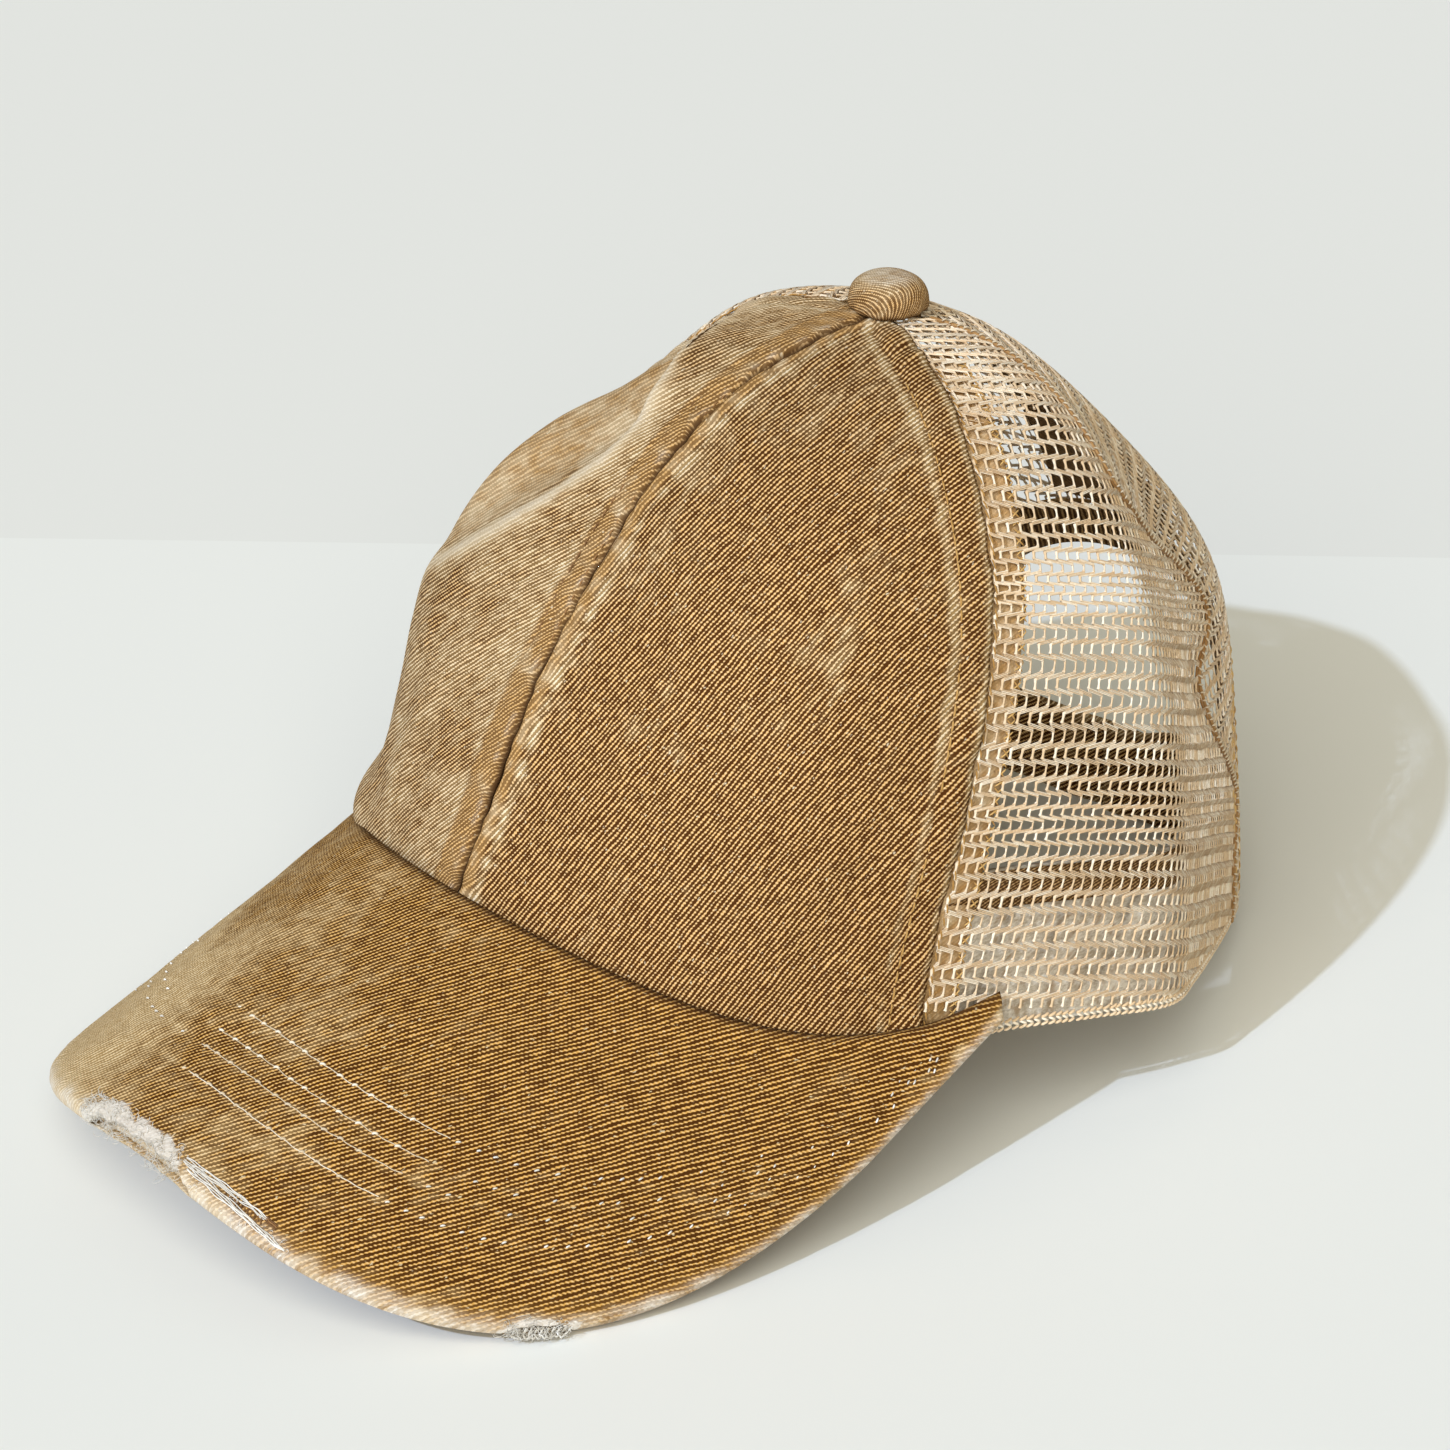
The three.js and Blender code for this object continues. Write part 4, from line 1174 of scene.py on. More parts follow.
def strip_beside(name, seam, side, material, seed):
    """A turned-in strip of cloth; side is 1 on the seam's side towards the wearer's left, else -1."""
    level = np.linspace(0.01, 0.955, STRIP_STEPS)
    along = np.linspace(0, STRIP_LENGTH, STRIP_STEPS)
    order = (np.linspace(-1.0, ALLOWANCE, STRIP_COLUMNS) * side)[::side]
    depth = STRIP_DEPTH + 0.25 * ripple(along, seed, 6)
    outer, inner = [], []
    for offset in order:
        ragged = 0.35 * ripple(along, seed + 1, 7) if abs(offset) > ALLOWANCE - 0.5 else 0
        points, normals = beside_seam(seam, offset + ragged, level, depth)
        outer.append(points)
        inner.append(points - normals * STRIP_WALL)
    outer, inner = np.stack(outer), np.stack(inner)
    cloth = cloth_lengths(order[:, None] + 0 * level[None, :], grid_distance(outer, 1), 35)
    cloth_piece(name, outer, inner, material, cloth, 0.35, plain=0.85, slot="twill")


# The seam allowance inside takes the darker twill, as painted shade
strip_beside("centre_allowance", "centre", 1, painted_shade_twill, 39)
strip_beside("turned_edge_left", "front_left", 1, golden_twill, 41)
strip_beside("turned_edge_right", "front_right", -1, golden_twill, 43)

# %% [markdown]
# Two rows of slanted stitches cross each other along the twill's cut edge, as an overlock does, and they
# show through the net. A rolled seam is a thick cord between two thin ones, with a row of loops over it.

# %% Overlocked edges and rolled seams
ROLL_RADIUS = 0.38
ROLL_SIDES = 8
BESIDE_ROLL = 0.7
EDGE_PITCH, EDGE_FILL, EDGE_RADIUS, EDGE_SLANT = 1.7, 0.9, 0.16, 1.6

for side_name, side in (("left", 1), ("right", -1)):
    seam = "front_" + side_name
    levels = level_range(0.015, 0.93)
    edge = beside_seam(seam, side * (ALLOWANCE - 0.8), levels, 0.55)
    yarn_piece("overlock_" + side_name, [
        stitches(edge, EDGE_PITCH, EDGE_FILL, EDGE_RADIUS, 0.2, EDGE_SLANT, seed=44),
        stitches(edge, EDGE_PITCH, EDGE_FILL, EDGE_RADIUS, 0.2, -EDGE_SLANT, seed=45),
        stitches(beside_seam(seam, side * 0.5, levels, 0.2), 2.2, 0.8, 0.18, 0.1, 0.5, seed=46),
    ], golden_thread, "net")
for side_name in ("left", "right"):
    seam = "rear_" + side_name
    levels = level_range(0.0, 0.95, 320)
    yarn_piece("rolled_seam_" + side_name, [
        plain_cord(beside_seam(seam, 0.0, levels, 0.15), ROLL_RADIUS, ROLL_SIDES, 0.9),
        plain_cord(beside_seam(seam, BESIDE_ROLL, levels, 0.45), 0.22),
        plain_cord(beside_seam(seam, -BESIDE_ROLL, levels, 0.45), 0.22),
    ], seam_thread, "net")
    yarn_piece("seam_loops_" + side_name, [
        stitches(beside_seam(seam, 0.0, levels, -0.15), 1.5, 0.5, 0.19, 0.40, 1.6, seed=47),
    ], cream_thread, "net")

# %% [markdown]
# The rear opening's edge is a rounded arch, given by half its width, its height and a power that says how
# square it is. One function gives it to the hem, the stitches and the binding, so they stay together.

# %% Hems of the rim and of the rear opening
HEM_SPANS = ((51.4, 142), (-142, -56.4))
HEM_ROWS = ((0.45, 0.7), (1.25, -0.7), (2.05, 0.7))
HEM_POINTS = 240
ARCH_POINTS = 300
ARCH_HEM_ROWS = (0.4, 1.1, 8.2)
ARCH_STITCH_ROWS = ((2.2, 51), (7.2, 52))


def hem_line(first, last, up, depth):
    """A line at a height above the rim, from one angle to another."""
    angle = np.linspace(first, last, HEM_POINTS)
    return crown_line(angle, level_above(angle, np.full(HEM_POINTS, up)), depth)


def arch_place(turn, grow):
    """Distance from the rear centre and height over the rim along the rear opening's edge."""
    power = 2 / ARCH_SQUARENESS
    distance = (ARCH_HALF_WIDTH + grow) * (np.sign(np.cos(turn)) * np.abs(np.cos(turn)) ** power)
    rim = section("height", 180 - distance / REAR_MM_PER_DEGREE)
    return distance, (ARCH_TOP + grow - rim) * np.abs(np.sin(turn)) ** power


def on_rear(distance, height, depth):
    """Places and face directions on the rear wall, moved inwards by a depth."""
    angle = 180 - distance / REAR_MM_PER_DEGREE
    return crown_line(angle, level_above(angle, height), depth)


def arch_line(grow, depth):
    return on_rear(*arch_place(np.linspace(0.02, math.pi - 0.02, ARCH_POINTS), grow), depth)


yarn_piece("net_hem", [
    stitches(hem_line(first, last, up, 0.45), 1.5, 0.95, 0.27, 0.22, slant, seed=48)
    for first, last in HEM_SPANS for up, slant in HEM_ROWS
], net_yarn, "net")
yarn_piece("arch_hem", [
    plain_cord(arch_line(grow, 0.55), 0.4) for grow in ARCH_HEM_ROWS
], net_yarn_golden, "net")
yarn_piece("arch_stitches", [
    stitches(arch_line(grow, 0.3), 2.6, 0.75, 0.2, 0.3, seed=seed) for grow, seed in ARCH_STITCH_ROWS
], golden_thread, "net")

# %% [markdown]
# ## Inside the cap
# Through the net one sees the inside of the cap: the sweatband with its brown folded edge and its pale,
# puckered backing, the binding round the rear opening, the tape over the rear seam and the strap.
# They are shells of cloth in the places that the imported solids hold. The folded edge, the binding
# and the tape are of a darker twill, whose brown is painted shade.

# %% The binding and the rear tape
LAYER_GAP = 0.9
BINDING_WIDTH = 9
BINDING_WALL = 1.0
TAPE_LOW_WIDTH, TAPE_HIGH_WIDTH = 16.5, 6
TAPE_BOTTOM, TAPE_TOP_LEVEL = 75, 0.9
UNDER_NET = CLOTH_WALL + LAYER_GAP


# The binding and the tape are made of the darker twill, which paints the shade inside the cap
def make_binding():
    """A band of cloth inside the rear opening's edge."""
    columns, rows = 200, 8
    turn = np.linspace(0, math.pi, columns + 1)[:, None]
    widen = np.linspace(0, BINDING_WIDTH, rows + 1)[None, :]
    place = arch_place(turn, widen)
    outer = on_rear(*place, UNDER_NET)[0]
    inner = on_rear(*place, UNDER_NET + BINDING_WALL)[0]
    cloth = cloth_lengths(grid_distance(outer, 0), widen + 0 * turn, 40)
    worn = 0.4 * bell(widen - 0.3, 0.6) + 0.3 * bell(widen - 8.7, 0.6) + 0 * turn
    cloth_piece("opening_binding_cloth", outer, inner, painted_shade_twill, cloth, worn,
                nodes=("opening_binding",), slot="binding")


def make_rear_tape():
    """A tape over the rear seam that narrows towards the apex."""
    rows, columns = 80, 24
    start = float(level_above(np.array(180.0), TAPE_BOTTOM))
    share = np.linspace(0, 1, rows + 1)[None, :]
    level = start + (TAPE_TOP_LEVEL - start) * share
    half = TAPE_LOW_WIDTH + (TAPE_HIGH_WIDTH - TAPE_LOW_WIDTH) * share
    distance = half * np.linspace(-1, 1, columns + 1)[:, None]
    radius = crown(180.0, level)[..., 1] - AXIS_Y
    angle = 180 + np.degrees(distance / radius)
    level = np.broadcast_to(level, angle.shape)
    outer, inner = [crown_line(angle, level, np.full(angle.shape, depth))[0]
                    for depth in (UNDER_NET, UNDER_NET + BINDING_WALL)]
    cloth = cloth_lengths(distance, grid_distance(outer, 1), 40)
    cloth_piece("rear_seam_tape_cloth", outer, inner, painted_shade_twill, cloth, 0.1,
                nodes=("rear_seam_tape",), slot="binding")


make_binding()
make_rear_tape()

# %% [markdown]
# The sweatband's backing is pale cotton with soft brown stains, puckered by its stitches. The puckers are
# waves in the shell itself, since they catch the light, and the deepest of them get painted shade. A fold
# of brown cloth covers its top edge; its brown is painted shade.

# %% The sweatband
BAND_HEIGHT, BAND_WALL, BAND_CLEARANCE, BAND_END = 31, 1.5, 1.1, 130
FOLD_HEIGHT = 7
BAND_DEPTH = CLOTH_WALL + BAND_CLEARANCE
# Puckers deeper than this get painted shade
DARKEST_PUCKER = -0.18


def make_cotton():
    """Pale puckered cotton with soft brown stains."""
    material, tree, shader = new_material("pale_cotton", 0.95)
    cloth = attribute(tree, "cloth", "Vector")
    fibre = noise(cloth, 1.7, 3.0, 0.75, (1, 0.6, 1))
    slow = noise(cloth, 0.13, 3.0, 0.6)
    stain = noise(cloth, 0.21, 2.0, 0.6, (1, 1.6, 1))
    amount = fibre.push(0.5, 1.4) + slow.push(0.5, 1.2) + 0.5
    color = amount.band(0.1, 0.9).mix((0.40, 0.33, 0.24, 1), (0.87, 0.82, 0.73, 1))
    color = (stain.band(0.52, 0.68) * 0.6).mix(color, (0.34, 0.21, 0.10, 1))
    # Painted shade in the deepest puckers darkens the cotton
    color = attribute(tree, "shade").mix(color, (0.10, 0.07, 0.05, 1))
    finish_material(tree, shader, color, fibre, 0.5, 0.2)
    return material


def make_sweatband():
    """The band's pale backing, puckered by its stitches."""
    columns, rows = 280, 16
    angle, up = np.broadcast_arrays(np.linspace(-BAND_END, BAND_END, columns + 1)[:, None],
                                    np.linspace(0, BAND_HEIGHT, rows + 1)[None, :])
    level = level_above(angle, up)
    along = grid_distance(crown_line(angle, level, np.full(angle.shape, BAND_DEPTH))[0], 0)
    pull = smooth_step(up, 0, 8) * (1 - smooth_step(up, 26, 31))
    pucker = 0.35 * pull * (ripple(along + up * 0.25, 61, 5.5) + 0.6 * ripple(along - up * 0.4, 62, 9))
    outer = crown_line(angle, level, BAND_DEPTH - np.clip(pucker, -0.4, 0.4))[0]
    inner = crown_line(angle, level, BAND_DEPTH + BAND_WALL - 0.6 * pucker)[0]
    # The deepest puckers get painted shade
    cloth_piece("sweatband_cloth", outer, inner, make_cotton(), cloth_lengths(along, up, 0),
                shade=0.4 * (pucker < DARKEST_PUCKER), nodes=("sweatband",), slot="sweatband")


def make_band_fold():
    """The edge that is folded over the top of the band, brown with painted shade."""
    angle, up = np.broadcast_arrays(np.linspace(-BAND_END, BAND_END, 261)[:, None],
                                    np.linspace(BAND_HEIGHT - FOLD_HEIGHT, BAND_HEIGHT, 9)[None, :])
    level = level_above(angle, up)
    bulge = 0.35 * np.sin(math.pi * (up - BAND_HEIGHT + FOLD_HEIGHT) / FOLD_HEIGHT)
    face = crown_line(angle, level, BAND_DEPTH - 0.55 - bulge)[0]
    back = crown_line(angle, level, np.full(up.shape, BAND_DEPTH - 0.42))[0]
    cloth = cloth_lengths(grid_distance(face, 0), up, 35)
    cloth_piece("sweatband_fold", face, back, painted_shade_twill, cloth, slot="binding")


make_sweatband()
make_band_fold()

# %% [markdown]
# The strap is two tabs that overlap at the rear centre. The left tab is sewn a little higher and passes
# inside the right one with a small gap, so they don't cut into each other.

# %% The strap
STRAP_HEIGHT, STRAP_WALL = 20, 1.2
STRAP_END, STRAP_OVERLAP = 57, 12
STRAP_LIFT = 7
TAB_GAP = 0.6
SEWN_DEPTH = UNDER_NET + BINDING_WALL + LAYER_GAP


def make_tab(name, towards, inside_step, lift):
    """One tab of the strap, from its free end to where it is sewn to the binding."""
    columns, rows = 120, 16
    share = np.linspace(0, 1, columns + 1)[:, None]
    row = np.linspace(0, 1, rows + 1)[None, :]
    distance = towards * (-STRAP_OVERLAP + (STRAP_END + STRAP_OVERLAP) * share) + 0 * row
    height = lift * smooth_step(share, 0.05, 0.4) + STRAP_HEIGHT * row
    depth = SEWN_DEPTH + inside_step * (1 - smooth_step(share, 0.35, 0.8)) + 0 * row
    outer = on_rear(distance, height, depth)[0]
    inner = on_rear(distance, height, depth + STRAP_WALL)[0]
    cloth = cloth_lengths(distance, height, 40)
    worn = 0.6 * bell(row, 0.05) + 0.6 * bell(1 - row, 0.05) + 0.5 * bell(share, 0.02)
    # Both tabs have to list their columns the same way round, so that their faces look outwards
    way = slice(None, None, -towards)
    cloth_piece(name + "_cloth", outer[way], inner[way], golden_twill, cloth[way], worn[way],
                nodes=(name,), slot="strap")


make_tab("strap_left", 1, STRAP_WALL + TAB_GAP, STRAP_LIFT)
make_tab("strap_right", -1, 0, 0)

# %% [markdown]
# ## The covered button
# The button is a dome wrapped in a disc of the same twill. The cloth is gathered under its edge, so its
# lower side has small pleats, darkened with painted shade, and its top has pale rubbed ribs.

# %% Make the button
BUTTON_BELLY = 1.5
BUTTON_EDGE = 1.4
BUTTON_WEAVE = 1.25


def button_profile(steps):
    """Radius and height of the button from under its edge to the middle of its top: a low drum."""
    t = np.linspace(0, 1, steps)
    edge = 0.2
    under = t < edge
    turn = np.where(under, (t / edge - 1) * math.pi / 2, (t - edge) / (1 - edge) * math.pi / 2)
    cosine, sine = np.maximum(np.cos(turn), 0), np.maximum(np.sin(turn), 0)
    radius = np.where(under, BUTTON_RADIUS - BUTTON_EDGE * (1 - cosine), BUTTON_RADIUS * cosine ** 0.62)
    height = np.where(under, BUTTON_BELLY + BUTTON_BELLY * np.sin(turn),
                      BUTTON_BELLY + (BUTTON_HEIGHT - BUTTON_BELLY) * sine ** 0.85)
    return radius, height


def make_button():
    """The button as rings of points from under its edge to its top, closed by a fan at each end."""
    sides, steps = 110, 40
    turn = (np.arange(sides) * 2 * math.pi / sides)[:, None]
    radius, height = button_profile(steps)
    from_top = np.append(np.hypot(np.diff(radius), np.diff(height))[::-1].cumsum()[::-1], 0)[None, :-1]
    radius, height = radius[None, :-1], height[None, :-1]
    pleat = 0.20 * np.sin(11 * turn + 0.7 * np.sin(3 * turn)) * np.exp(-height / 2.2)
    pleat = pleat + 0.12 * np.sin(2 * turn + 1.0)
    wide = radius * (1 + pleat / BUTTON_RADIUS)
    sag = 0.12 * np.sin(3 * turn + 0.5) * (radius / BUTTON_RADIUS) ** 2
    twist = 0.10 * np.maximum(from_top - 4, 0)
    rings = np.stack([np.cos(turn) * wide, np.sin(turn) * wide, height + sag], axis=-1)
    spread = [BUTTON_WEAVE * from_top * way(turn + twist) for way in (np.cos, np.sin)]
    cloth = cloth_lengths(*spread, 38)
    points = np.concatenate([rings.reshape(-1, 3), [[0, 0, BUTTON_HEIGHT], [0, 0, height[0, 0]]]])
    cloth = np.concatenate([cloth.reshape(-1, 3), [[0, 0, 0], [0, 0, 0]]])
    index = np.arange(sides * (steps - 1)).reshape(sides, steps - 1)
    after = np.roll(index, -1, axis=0)
    quads = np.stack([index[:, :-1], after[:, :-1], after[:, 1:], index[:, 1:]], axis=-1).reshape(-1, 4)
    tip = np.stack([index[:, -1], after[:, -1], np.full(sides, index.size)], axis=-1)
    base = np.stack([after[:, 0], index[:, 0], np.full(sides, index.size + 1)], axis=-1)
    faces = np.concatenate([quads[:, [0, 1, 2]], quads[:, [0, 2, 3]], tip, base])
    high = points[:, 2]
    # Painted shade darkens the lowest ring, under the button's edge
    values = {
        "wear": 0.2 + 0.4 * smooth_step(high, BUTTON_HEIGHT - 2.5, BUTTON_HEIGHT),
        "shade": 0.75 * (1 - smooth_step(high, 0.2, 1.3)),
        "bare": 0.35 * smooth_step(high, BUTTON_HEIGHT - 1.6, BUTTON_HEIGHT),
        "plain": 0.15 + 0 * high,
    }
    points = points + (AXIS_X + APEX_SHIFT_X, AXIS_Y + APEX_SHIFT_Y, BUTTON_BASE)
    new_piece("top_button_cloth", points, faces, golden_twill, ("top_button",), "twill",
              values=values, vectors={"cloth": cloth})


make_button()

# %% [markdown]
# ## The visor
# The visor is a stiff board bent across the front, covered above and below with twill. The two covers meet
# at the edge, which is rounded, pale with wear and torn in two places. Four rows of cream thread follow
# the crown's curve, and away from the front most of their stitches have worn away.

# %% The visor's shape
VISOR_MIDDLE, VISOR_FRONT_Y = 49.5, -107
VISOR_BEND, VISOR_SLOPE = 67.4, 0.387
OUTLINE_WIDE, OUTLINE_SIDE_Y, OUTLINE_REACH, OUTLINE_SQUARE = 78.6, -76, 100, 2.5
OUTLINE_END_X, OUTLINE_END_Y = 76.5, -42
ROUND_SHARE = 0.8
VISOR_END_ANGLE = 61
CLEAR_OF_CROWN = 0.45


def visor_height(x, y):
    return VISOR_MIDDLE - x * x / (2 * VISOR_BEND) - VISOR_SLOPE * (VISOR_FRONT_Y - y)


def visor_edge(share, margin):
    """Outer edge of the visor; share runs from -1 at the wearer's right end to 1 at the left."""
    turn = np.minimum(np.abs(share) / ROUND_SHARE, 1) * math.pi / 2
    power = 2 / OUTLINE_SQUARE
    tail = np.maximum((np.abs(share) - ROUND_SHARE) / (1 - ROUND_SHARE), 0)
    wide = (OUTLINE_WIDE - margin) * np.sin(turn) ** power
    front = OUTLINE_SIDE_Y - (OUTLINE_REACH - margin) * np.maximum(np.cos(turn), 0) ** power
    x = wide + (OUTLINE_END_X - margin - wide) * tail
    return np.sign(share) * x, front + (OUTLINE_END_Y - front) * tail


def visor_place(share, out, depth, margin=0.0):
    """A place on the visor: share along it, share out from the crown, and depth under the top face."""
    rim = crown(share * VISOR_END_ANGLE, 0.0 * share) - (AXIS_X, AXIS_Y, 0)
    grow = 1 + CLEAR_OF_CROWN / np.hypot(rim[..., 0], rim[..., 1])
    edge_x, edge_y = visor_edge(share, margin)
    x = rim[..., 0] * grow + (edge_x - rim[..., 0] * grow) * out
    y = rim[..., 1] * grow + (edge_y - rim[..., 1] * grow) * out
    steep = np.stack([x / VISOR_BEND, np.full_like(x, -VISOR_SLOPE), np.ones_like(x)], axis=-1)
    length = np.linalg.norm(steep, axis=-1, keepdims=True)
    blend = smooth_step(out, 0, 0.6)[..., None]
    direction = (0, 0, -1) * length * (1 - blend) - steep / length * blend
    place = np.stack([x, y, visor_height(x, y)], axis=-1) + direction * np.asarray(depth)[..., None]
    return place + (AXIS_X, AXIS_Y, 0)


def visor_reach(share):
    """How far the visor reaches out from the crown."""
    return np.linalg.norm(visor_place(share, share ** 0, 0.0) - visor_place(share, 0 * share, 0.0), axis=-1)


print("the visor reaches", round(float(visor_reach(np.zeros(1))[0]), 1), "mm out from the crown's front")

# %% [markdown]
# The covers turn round the visor's edge, so their faces drop there along a quarter of a circle. In two
# places the top cover has worn back from the edge, so the board shows, and beside that the golden face has
# rubbed off and bares the white threads beneath. A few sines with mixed phases make the borders ragged.

# %% The worn edge
COVER_WALL, BOARD_WALL, BOARD_MARGIN = 1.0, 1.6, 1.6
BOARD_TOP = COVER_WALL + SEAM_GAP
VISOR_WALL = BOARD_TOP + BOARD_WALL + SEAM_GAP + COVER_WALL
EDGE_ROUND = VISOR_WALL / 2
# Each tear: share along the visor, half its width, how far it has worn back and how ragged it is
TEARS = [(0.002, 0.065, 2.2, 1.2), (0.492, 0.034, 1.2, 0.6)]
# Each bare place: share along the visor, half its width, distance from the edge and how far in it goes
BARE_PLACES = [(-0.014, 0.064, 0.0, 5.2), (0.492, 0.040, 0.0, 2.0)]


def tear_back(share):
    """How far the cover's edge has worn back from the visor's edge."""
    back = np.zeros_like(share)
    for middle, half, size, ragged in TEARS:
        inside = np.clip(1 - ((share - middle) / half) ** 2, 0, 1)
        back = back + inside ** 0.5 * (size + ragged * ripple(share * 1000, int(middle * 100) + 70, 13))
    return np.maximum(back, 0)


def bare_places(share, from_edge, along):
    """How bare the cover is, from 0 to 1, with a ragged border."""
    bare = np.zeros(np.broadcast(share, from_edge).shape)
    for number, (middle, half, nearest, reach) in enumerate(BARE_PLACES):
        ragged = reach + 1.6 * ripple(along, 60 + number, 7)
        width = np.clip(1 - ((share - middle) / half) ** 2, 0, 1) ** 0.35 * ragged
        far = 1 - smooth_step(from_edge - nearest, width - 0.5, width + 0.25)
        bare = np.maximum(bare, far * (width > 0.4) * (from_edge >= nearest - 0.6))
    return bare


def rounded_depth(from_edge):
    """How far the cover's face has dropped where it turns round the visor's edge."""
    inside = np.clip(EDGE_ROUND - from_edge, 0, EDGE_ROUND)
    return EDGE_ROUND - np.sqrt(EDGE_ROUND ** 2 - inside ** 2)

# %% [markdown]
# The rows of a cover's grid crowd towards the edge, where the detail is. Its relief has the soft waves of
# washed cloth, with lumps where the threads lie bare.

# %% Grid, relief and wear of a cover
STITCH_ROWS = (0.56, 0.635, 0.69, 0.766)
EDGE_CROWDING = 1.6
UNDER_TORN = 0.35


def visor_grid(columns, rows, torn):
    """Shares along and out of a sheet's points, its reach and each point's distance from the edge."""
    share = np.linspace(1, -1, columns + 1)[:, None] + np.zeros((1, rows + 1))
    climb = 1 - (1 - np.linspace(0, 1, rows + 1)[None, :]) ** EDGE_CROWDING
    reach = visor_reach(share[:, :1])
    out = climb * (1 - tear_back(share[:, :1]) * torn / reach)
    return share, out, reach, (1 - out) * reach


def top_relief(place, out, from_edge, along, grooves, worn_through):
    """Soft unevenness of the top cover, puckers at its edge, and lumps where it is bare."""
    x, y = place[..., 0], place[..., 1]
    uneven = 0.45 * ripple(0.9 * x + 0.3 * y, 81, 34) + 0.25 * ripple(0.5 * x - 0.9 * y, 86, 17)
    small = 0.22 * ripple(along, 82, 6.5) * bell(from_edge - 3, 3)
    relief = uneven * smooth_step(from_edge, 1, 12) + small - 0.25 * grooves
    lumps = 0.25 + 0.5 * ripple(along, 87, 2.6) * ripple(from_edge * 3, 88, 4.2)
    return relief * smooth_step(out, 0, 0.06) + worn_through * lumps


def cover_wear(place, share, from_edge, along, grooves):
    """Wear along the edge, in the stitches' grooves and over the side that faces the wearer's right."""
    wear = 0.25 * bell(from_edge, 1.8) + 0.35 * np.exp(-from_edge / 4.0)
    wear += 0.18 * ripple(place[..., 0], 83, 41) * ripple(place[..., 1], 84, 37)
    wear += 0.3 * grooves * (0.6 + ripple(along, 85, 9)) - 0.10 * smooth_step(from_edge, 25, 60)
    wear += 0.85 * smooth_step(-share, 0.04, 0.26) * (1 - smooth_step(from_edge, 26, 50))
    return wear + 0.36 * smooth_step(-share, -0.3, 0.2) - 0.12 * smooth_step(share, 0.1, 0.5)

# %% [markdown]
# The visor is three shells, one under another. The board is a little smaller than its covers, and it only
# shows where the top cover is torn.

# %% Make the covers and the board
def visor_cover(name, columns, rows, is_top):
    """The cloth over the board or under it."""
    share, out, reach, from_edge = visor_grid(columns, rows, 1.0 if is_top else UNDER_TORN)
    place = visor_place(share, out, 0.0 * out)
    along = grid_distance(place, 0)
    drop = rounded_depth(from_edge)
    inside_drop = drop * (EDGE_ROUND - COVER_WALL) / EDGE_ROUND
    grooves = sum(bell((out - row) * reach, 0.8) for row in STITCH_ROWS)
    worn_through = bare_places(share, from_edge, along) * is_top
    rubbed = 0.8 + 0.35 * (0.5 + 1.2 * ripple(along, 89, 11))
    bare = np.clip(0.52 * bell(from_edge, 3.2) * rubbed, 0, 0.9)
    if is_top:
        relief = top_relief(place, out, from_edge, along, grooves, worn_through)
        depths = (drop - relief, COVER_WALL + inside_drop)
        # Painted shade where the visor meets the crown
        shade = 0.75 * bell(out * reach, 1.2)
        bare = np.maximum(bare, 1.6 * worn_through)
    else:
        depths = (VISOR_WALL - COVER_WALL - inside_drop, VISOR_WALL - drop)
        shade = 0.0
        bare = 0.6 * bare
    tops, bottoms = [visor_place(share, out, depth) for depth in depths]
    smoothed = np.maximum(0.8 * worn_through, 0.55 * bell(from_edge, 3.6))
    cloth_piece(name + "_cloth", tops, bottoms, visor_twill, flat_weave(place, WEAVE_VISOR),
                cover_wear(place, share, from_edge, along, grooves), shade, smoothed, bare,
                nodes=(name,), slot="twill")


def make_board_fibre():
    """The tan fibre board inside the visor."""
    material, tree, shader = new_material("board_fibre", 0.9)
    fibre = noise(attribute(tree, "cloth", "Vector"), 0.9, 4.0, 0.7, (1, 4, 1))
    color = fibre.band(0.3, 0.7).mix((0.46, 0.34, 0.20, 1), (0.72, 0.60, 0.44, 1))
    finish_material(tree, shader, color, fibre, 0.5, 0.2)
    return material


def make_board():
    """The board, a little smaller than its covers and with a softened edge."""
    share, out, _, _ = visor_grid(160, 18, 0.0)
    round_off = 0.5 * np.exp(-((1 - out) * 90 / 0.8) ** 2)
    tops = visor_place(share, out, BOARD_TOP + round_off, BOARD_MARGIN)
    bottoms = visor_place(share, out, BOARD_TOP + BOARD_WALL - round_off, BOARD_MARGIN)
    cloth = cloth_lengths(tops[..., 0], tops[..., 1], 0)
    cloth_piece("visor_board_fibre", tops, bottoms, make_board_fibre(), cloth,
                nodes=("visor_board",), slot="visor_board")


visor_cover("visor_top", 336, 78, True)
make_board()
visor_cover("visor_under", 180, 30, False)

# %% [markdown]
# ## Rows of stitches and frayed threads
# Four rows of thin cream thread hold the visor's covers to the board. Each row is one thread that comes up
# in small pale knots. Beyond the rows the thread has worn away, and only some of the knots are left. A fuzz
# of short curled fibres stands out from both tears, with two bundles of long loose threads at the front
# one and a tuft of loops at the small one. Fibres are tubes too, only much thinner and bent at random.

# %% Rows of stitches on the visor
ROW_ENDS = ((-0.062, 0.275), (-0.047, 0.270), (-0.042, 0.252), (-0.037, 0.245))
ROW_POINTS = 420
LAST_KNOT, FIRST_KNOT = 0.93, -0.90


def visor_line(share, out):
    """Places on the visor's top face, with the direction that it looks in."""
    place = visor_place(share, out, 0 * share)
    normal = place - visor_place(share, out, 1 + 0 * share)
    return place, normal / np.linalg.norm(normal, axis=1, keepdims=True)


def drifted(row, share):
    """The worn rows wander towards the crown on the wearer's left."""
    return row - 0.30 * np.maximum(share - 0.38, 0) ** 1.2


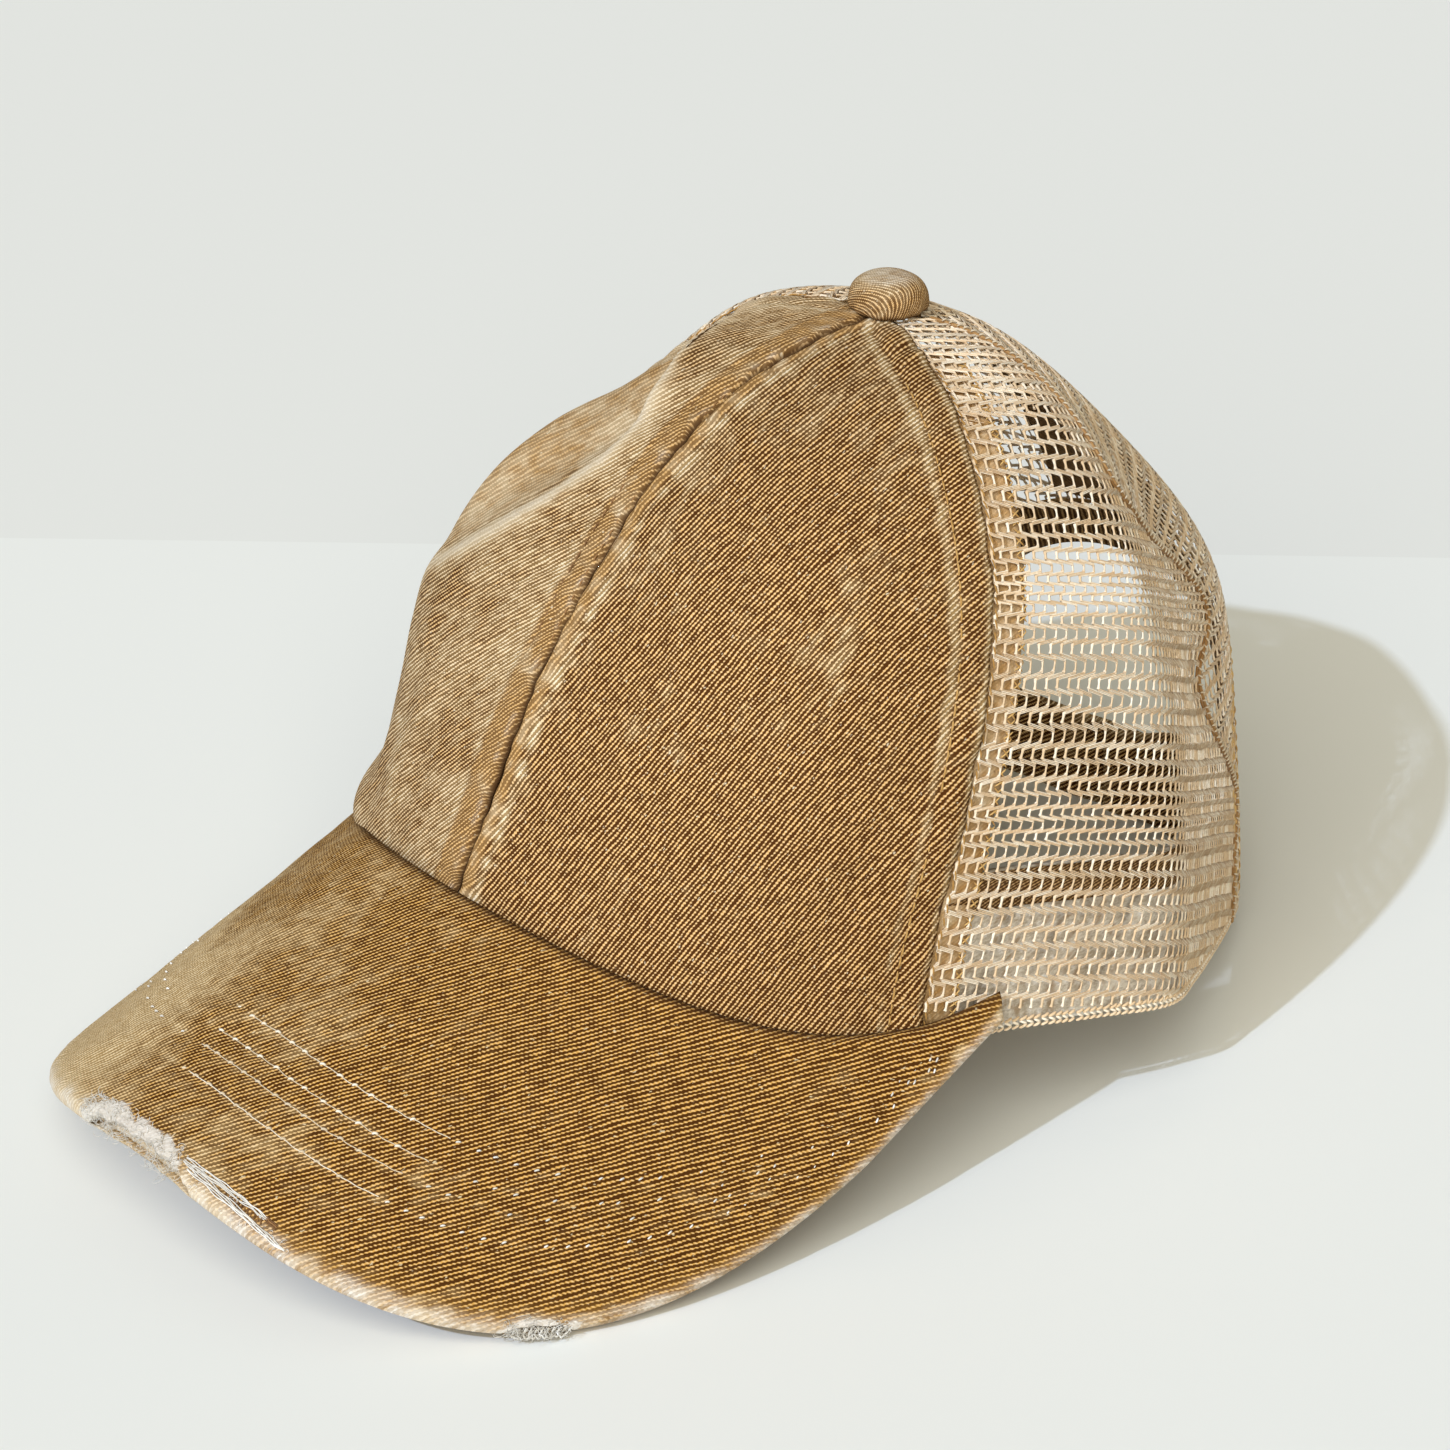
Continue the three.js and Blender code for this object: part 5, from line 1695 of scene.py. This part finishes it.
visor_rows = []
visor_knots = []
for number, (row, (first, last)) in enumerate(zip(STITCH_ROWS, ROW_ENDS)):
    share = np.linspace(first, last, ROW_POINTS)
    line = visor_line(share, row + 0.0025 * ripple(share * 1000, 90 + number, 31))
    visor_rows.append(plain_cord(line, 0.10, 5))
    visor_rows.append(stitches(line, 4.0, 0.24, 0.24, 0.34, 0.5, seed=90 + number))
    for low, high, keep in ((last, LAST_KNOT, 0.60), (FIRST_KNOT, first, 0.25)):
        share = np.linspace(low, high, ROW_POINTS)
        line = visor_line(share, drifted(row, share))
        visor_knots.append(stitches(line, 3.6, 0.22, 0.18, 0.24, 0.4, seed=95 + number, keep=keep))
yarn_piece("visor_stitches", visor_rows, cream_thread, "twill")
yarn_piece("visor_worn_knots", visor_knots, bare_thread, "twill")

# %% [markdown]
# A fibre starts at a random place near the edge and curls as it goes. A loose thread is a smooth curve
# through a few given places, with a little wobble.

# %% Fibres and loose threads
FIBRE_POINTS = 6
FIBRE_SIDES = 3
LOOSE_POINTS = 60
LOOSE_SIDES = 5
LOWEST_FIBRE = 0.8


def visor_point(share, from_edge, lift):
    """A place by its share along the visor, its distance in from the edge and its height over the face."""
    share, from_edge = np.broadcast_arrays(np.asarray(share, float), np.asarray(from_edge, float))
    return visor_place(share, 1 - from_edge / visor_reach(share), rounded_depth(from_edge) - lift)


def fibres(count, low, high, near, far, length, curl, lift, radius, seed, lean):
    """Curled fibres that start at random places between two shares and two distances from the edge."""
    chance = np.random.default_rng(seed)
    share = chance.uniform(low, high, count)
    start = visor_point(share, chance.uniform(near, far, count), lift)
    heading = chance.normal(0, 1, (count, 3)) * (1, 1, 0.45) + (0, -lean, 0.25)
    heading /= np.linalg.norm(heading, axis=1, keepdims=True)
    reach = length * chance.uniform(0.4, 1.0, count)
    t = np.linspace(0, 1, FIBRE_POINTS)
    bend = np.cross(heading, chance.normal(0, 1, (count, 3)))
    swirl = np.cross(heading, bend)
    turn = (chance.uniform(2, 5, count)[:, None] * t)[..., None]
    path = start[:, None] + heading[:, None] * (reach[:, None] * t)[..., None]
    path = path + bend[:, None] * (curl * (1 - np.cos(turn))) + swirl[:, None] * (curl * np.sin(turn))
    path[..., 2] = np.maximum(path[..., 2], start[:, None, 2] - LOWEST_FIBRE)
    return tubes(path, np.broadcast_to((0.1, 0.2, 1.0), path.shape), radius, FIBRE_SIDES, tip=0.6)


def loose_thread(places, radius, wobble, seed):
    """One long thread through places given by share, distance from the edge and height over the face."""
    rows = np.array(places)
    t = np.linspace(0, 1, LOOSE_POINTS)
    share, from_edge, lift = [smooth_curve(np.linspace(0, 1, len(rows)), column, t) for column in rows.T]
    from_edge = from_edge + wobble * ripple(LOOSE_POINTS * t, seed, 17)
    lift = lift + wobble * 0.5 * ripple(LOOSE_POINTS * t, seed + 1, 23)
    path = visor_point(share, from_edge, lift)
    return tubes(path[None], np.broadcast_to((0.0, 0.0, 1.0), path.shape)[None], radius, LOOSE_SIDES)


def moved(places, along=0.0, across=0.0, parts=(1, 1, 1, 1)):
    """Places shifted along the edge and away from it; parts says how much each is shifted away."""
    return [(share + along, from_edge + part * across, height)
            for (share, from_edge, height), part in zip(places, parts)]

# %% [markdown]
# Each row of the first table is one tuft: how many fibres, their shares along the visor (from, to), their
# distances from the edge (from, to), then a fibre's length, curl, height over the face and radius, the seed,
# and how far the fibres lean outwards. A thread is given by its places: share, distance from the edge and
# height over the face. The short brown threads are what is left of the yarns that crossed the white ones.

# %% Frayed threads at the torn edge
TUFTS = (
    (420, -0.082, 0.048, 0.0, 4.8, 1.5, 0.35, 0.10, 0.055, 201, 0.0),
    (70, -0.078, 0.046, 3.8, 5.0, 1.0, 0.25, 0.05, 0.06, 202, 0.0),
    (120, -0.060, 0.045, -0.2, 1.0, 1.6, 0.4, 0.0, 0.05, 203, 0.8),
    (50, 0.045, 0.20, 0.2, 3.4, 0.9, 0.2, 0.10, 0.045, 204, 0.0),
    (150, 0.455, 0.525, -0.3, 1.2, 1.8, 0.45, 0.05, 0.06, 205, 1.0),
)
BUNDLES = (
    (((0.046, 3.9, 0.25), (0.085, 4.2, 0.40), (0.125, 4.4, 0.35), (0.160, 4.0, 0.12)), 211),
    (((0.055, 3.2, 0.25), (0.100, 2.8, 0.45), (0.150, 2.0, 0.40), (0.196, 1.2, 0.10)), 231),
)
BUNDLE_THREADS = 5
BUNDLE_SPACING = 0.26
BUNDLE_PARTS = (1, 1, 0.8, 0.3)
LOOP = ((-0.004, 0.9, 0.0), (-0.002, -0.4, 0.5), (0.006, -0.9, 0.1), (0.010, 0.6, 0.0))
LOOP_START, LOOP_STEP, LOOPS = 0.468, 0.006, 9
WEFT = ((0.104, 4.0, 0.10), (0.106, 3.3, 0.16), (0.108, 2.7, 0.10))
WEFT_STEP, WEFT_THREADS = 0.0045, 12
DARK_THREAD = ((0.156, 4.2, 0.10), (0.164, 4.0, 0.22), (0.174, 3.8, 0.10))

frays = [fibres(*row) for row in TUFTS]
for number in range(BUNDLE_THREADS):
    for places, seed in BUNDLES:
        shift = BUNDLE_SPACING * (number - BUNDLE_THREADS // 2)
        frays.append(loose_thread(moved(places, 0.0, shift, BUNDLE_PARTS), 0.11, 0.30, seed + number))
frays += [loose_thread(moved(LOOP, LOOP_START + LOOP_STEP * number), 0.17, 0.3, 251 + number)
          for number in range(LOOPS)]
yarn_piece("frayed_threads", frays, bare_thread, "twill")
weft = [loose_thread(moved(WEFT, WEFT_STEP * number), 0.13, 0.1, 271 + number)
        for number in range(WEFT_THREADS)]
weft += [loose_thread(moved(DARK_THREAD, 0.0, 0.3 * step), 0.15, 0.1, 291 + step) for step in (-1, 0, 1)]
yarn_piece("frayed_weft", weft, brown_thread, "twill")
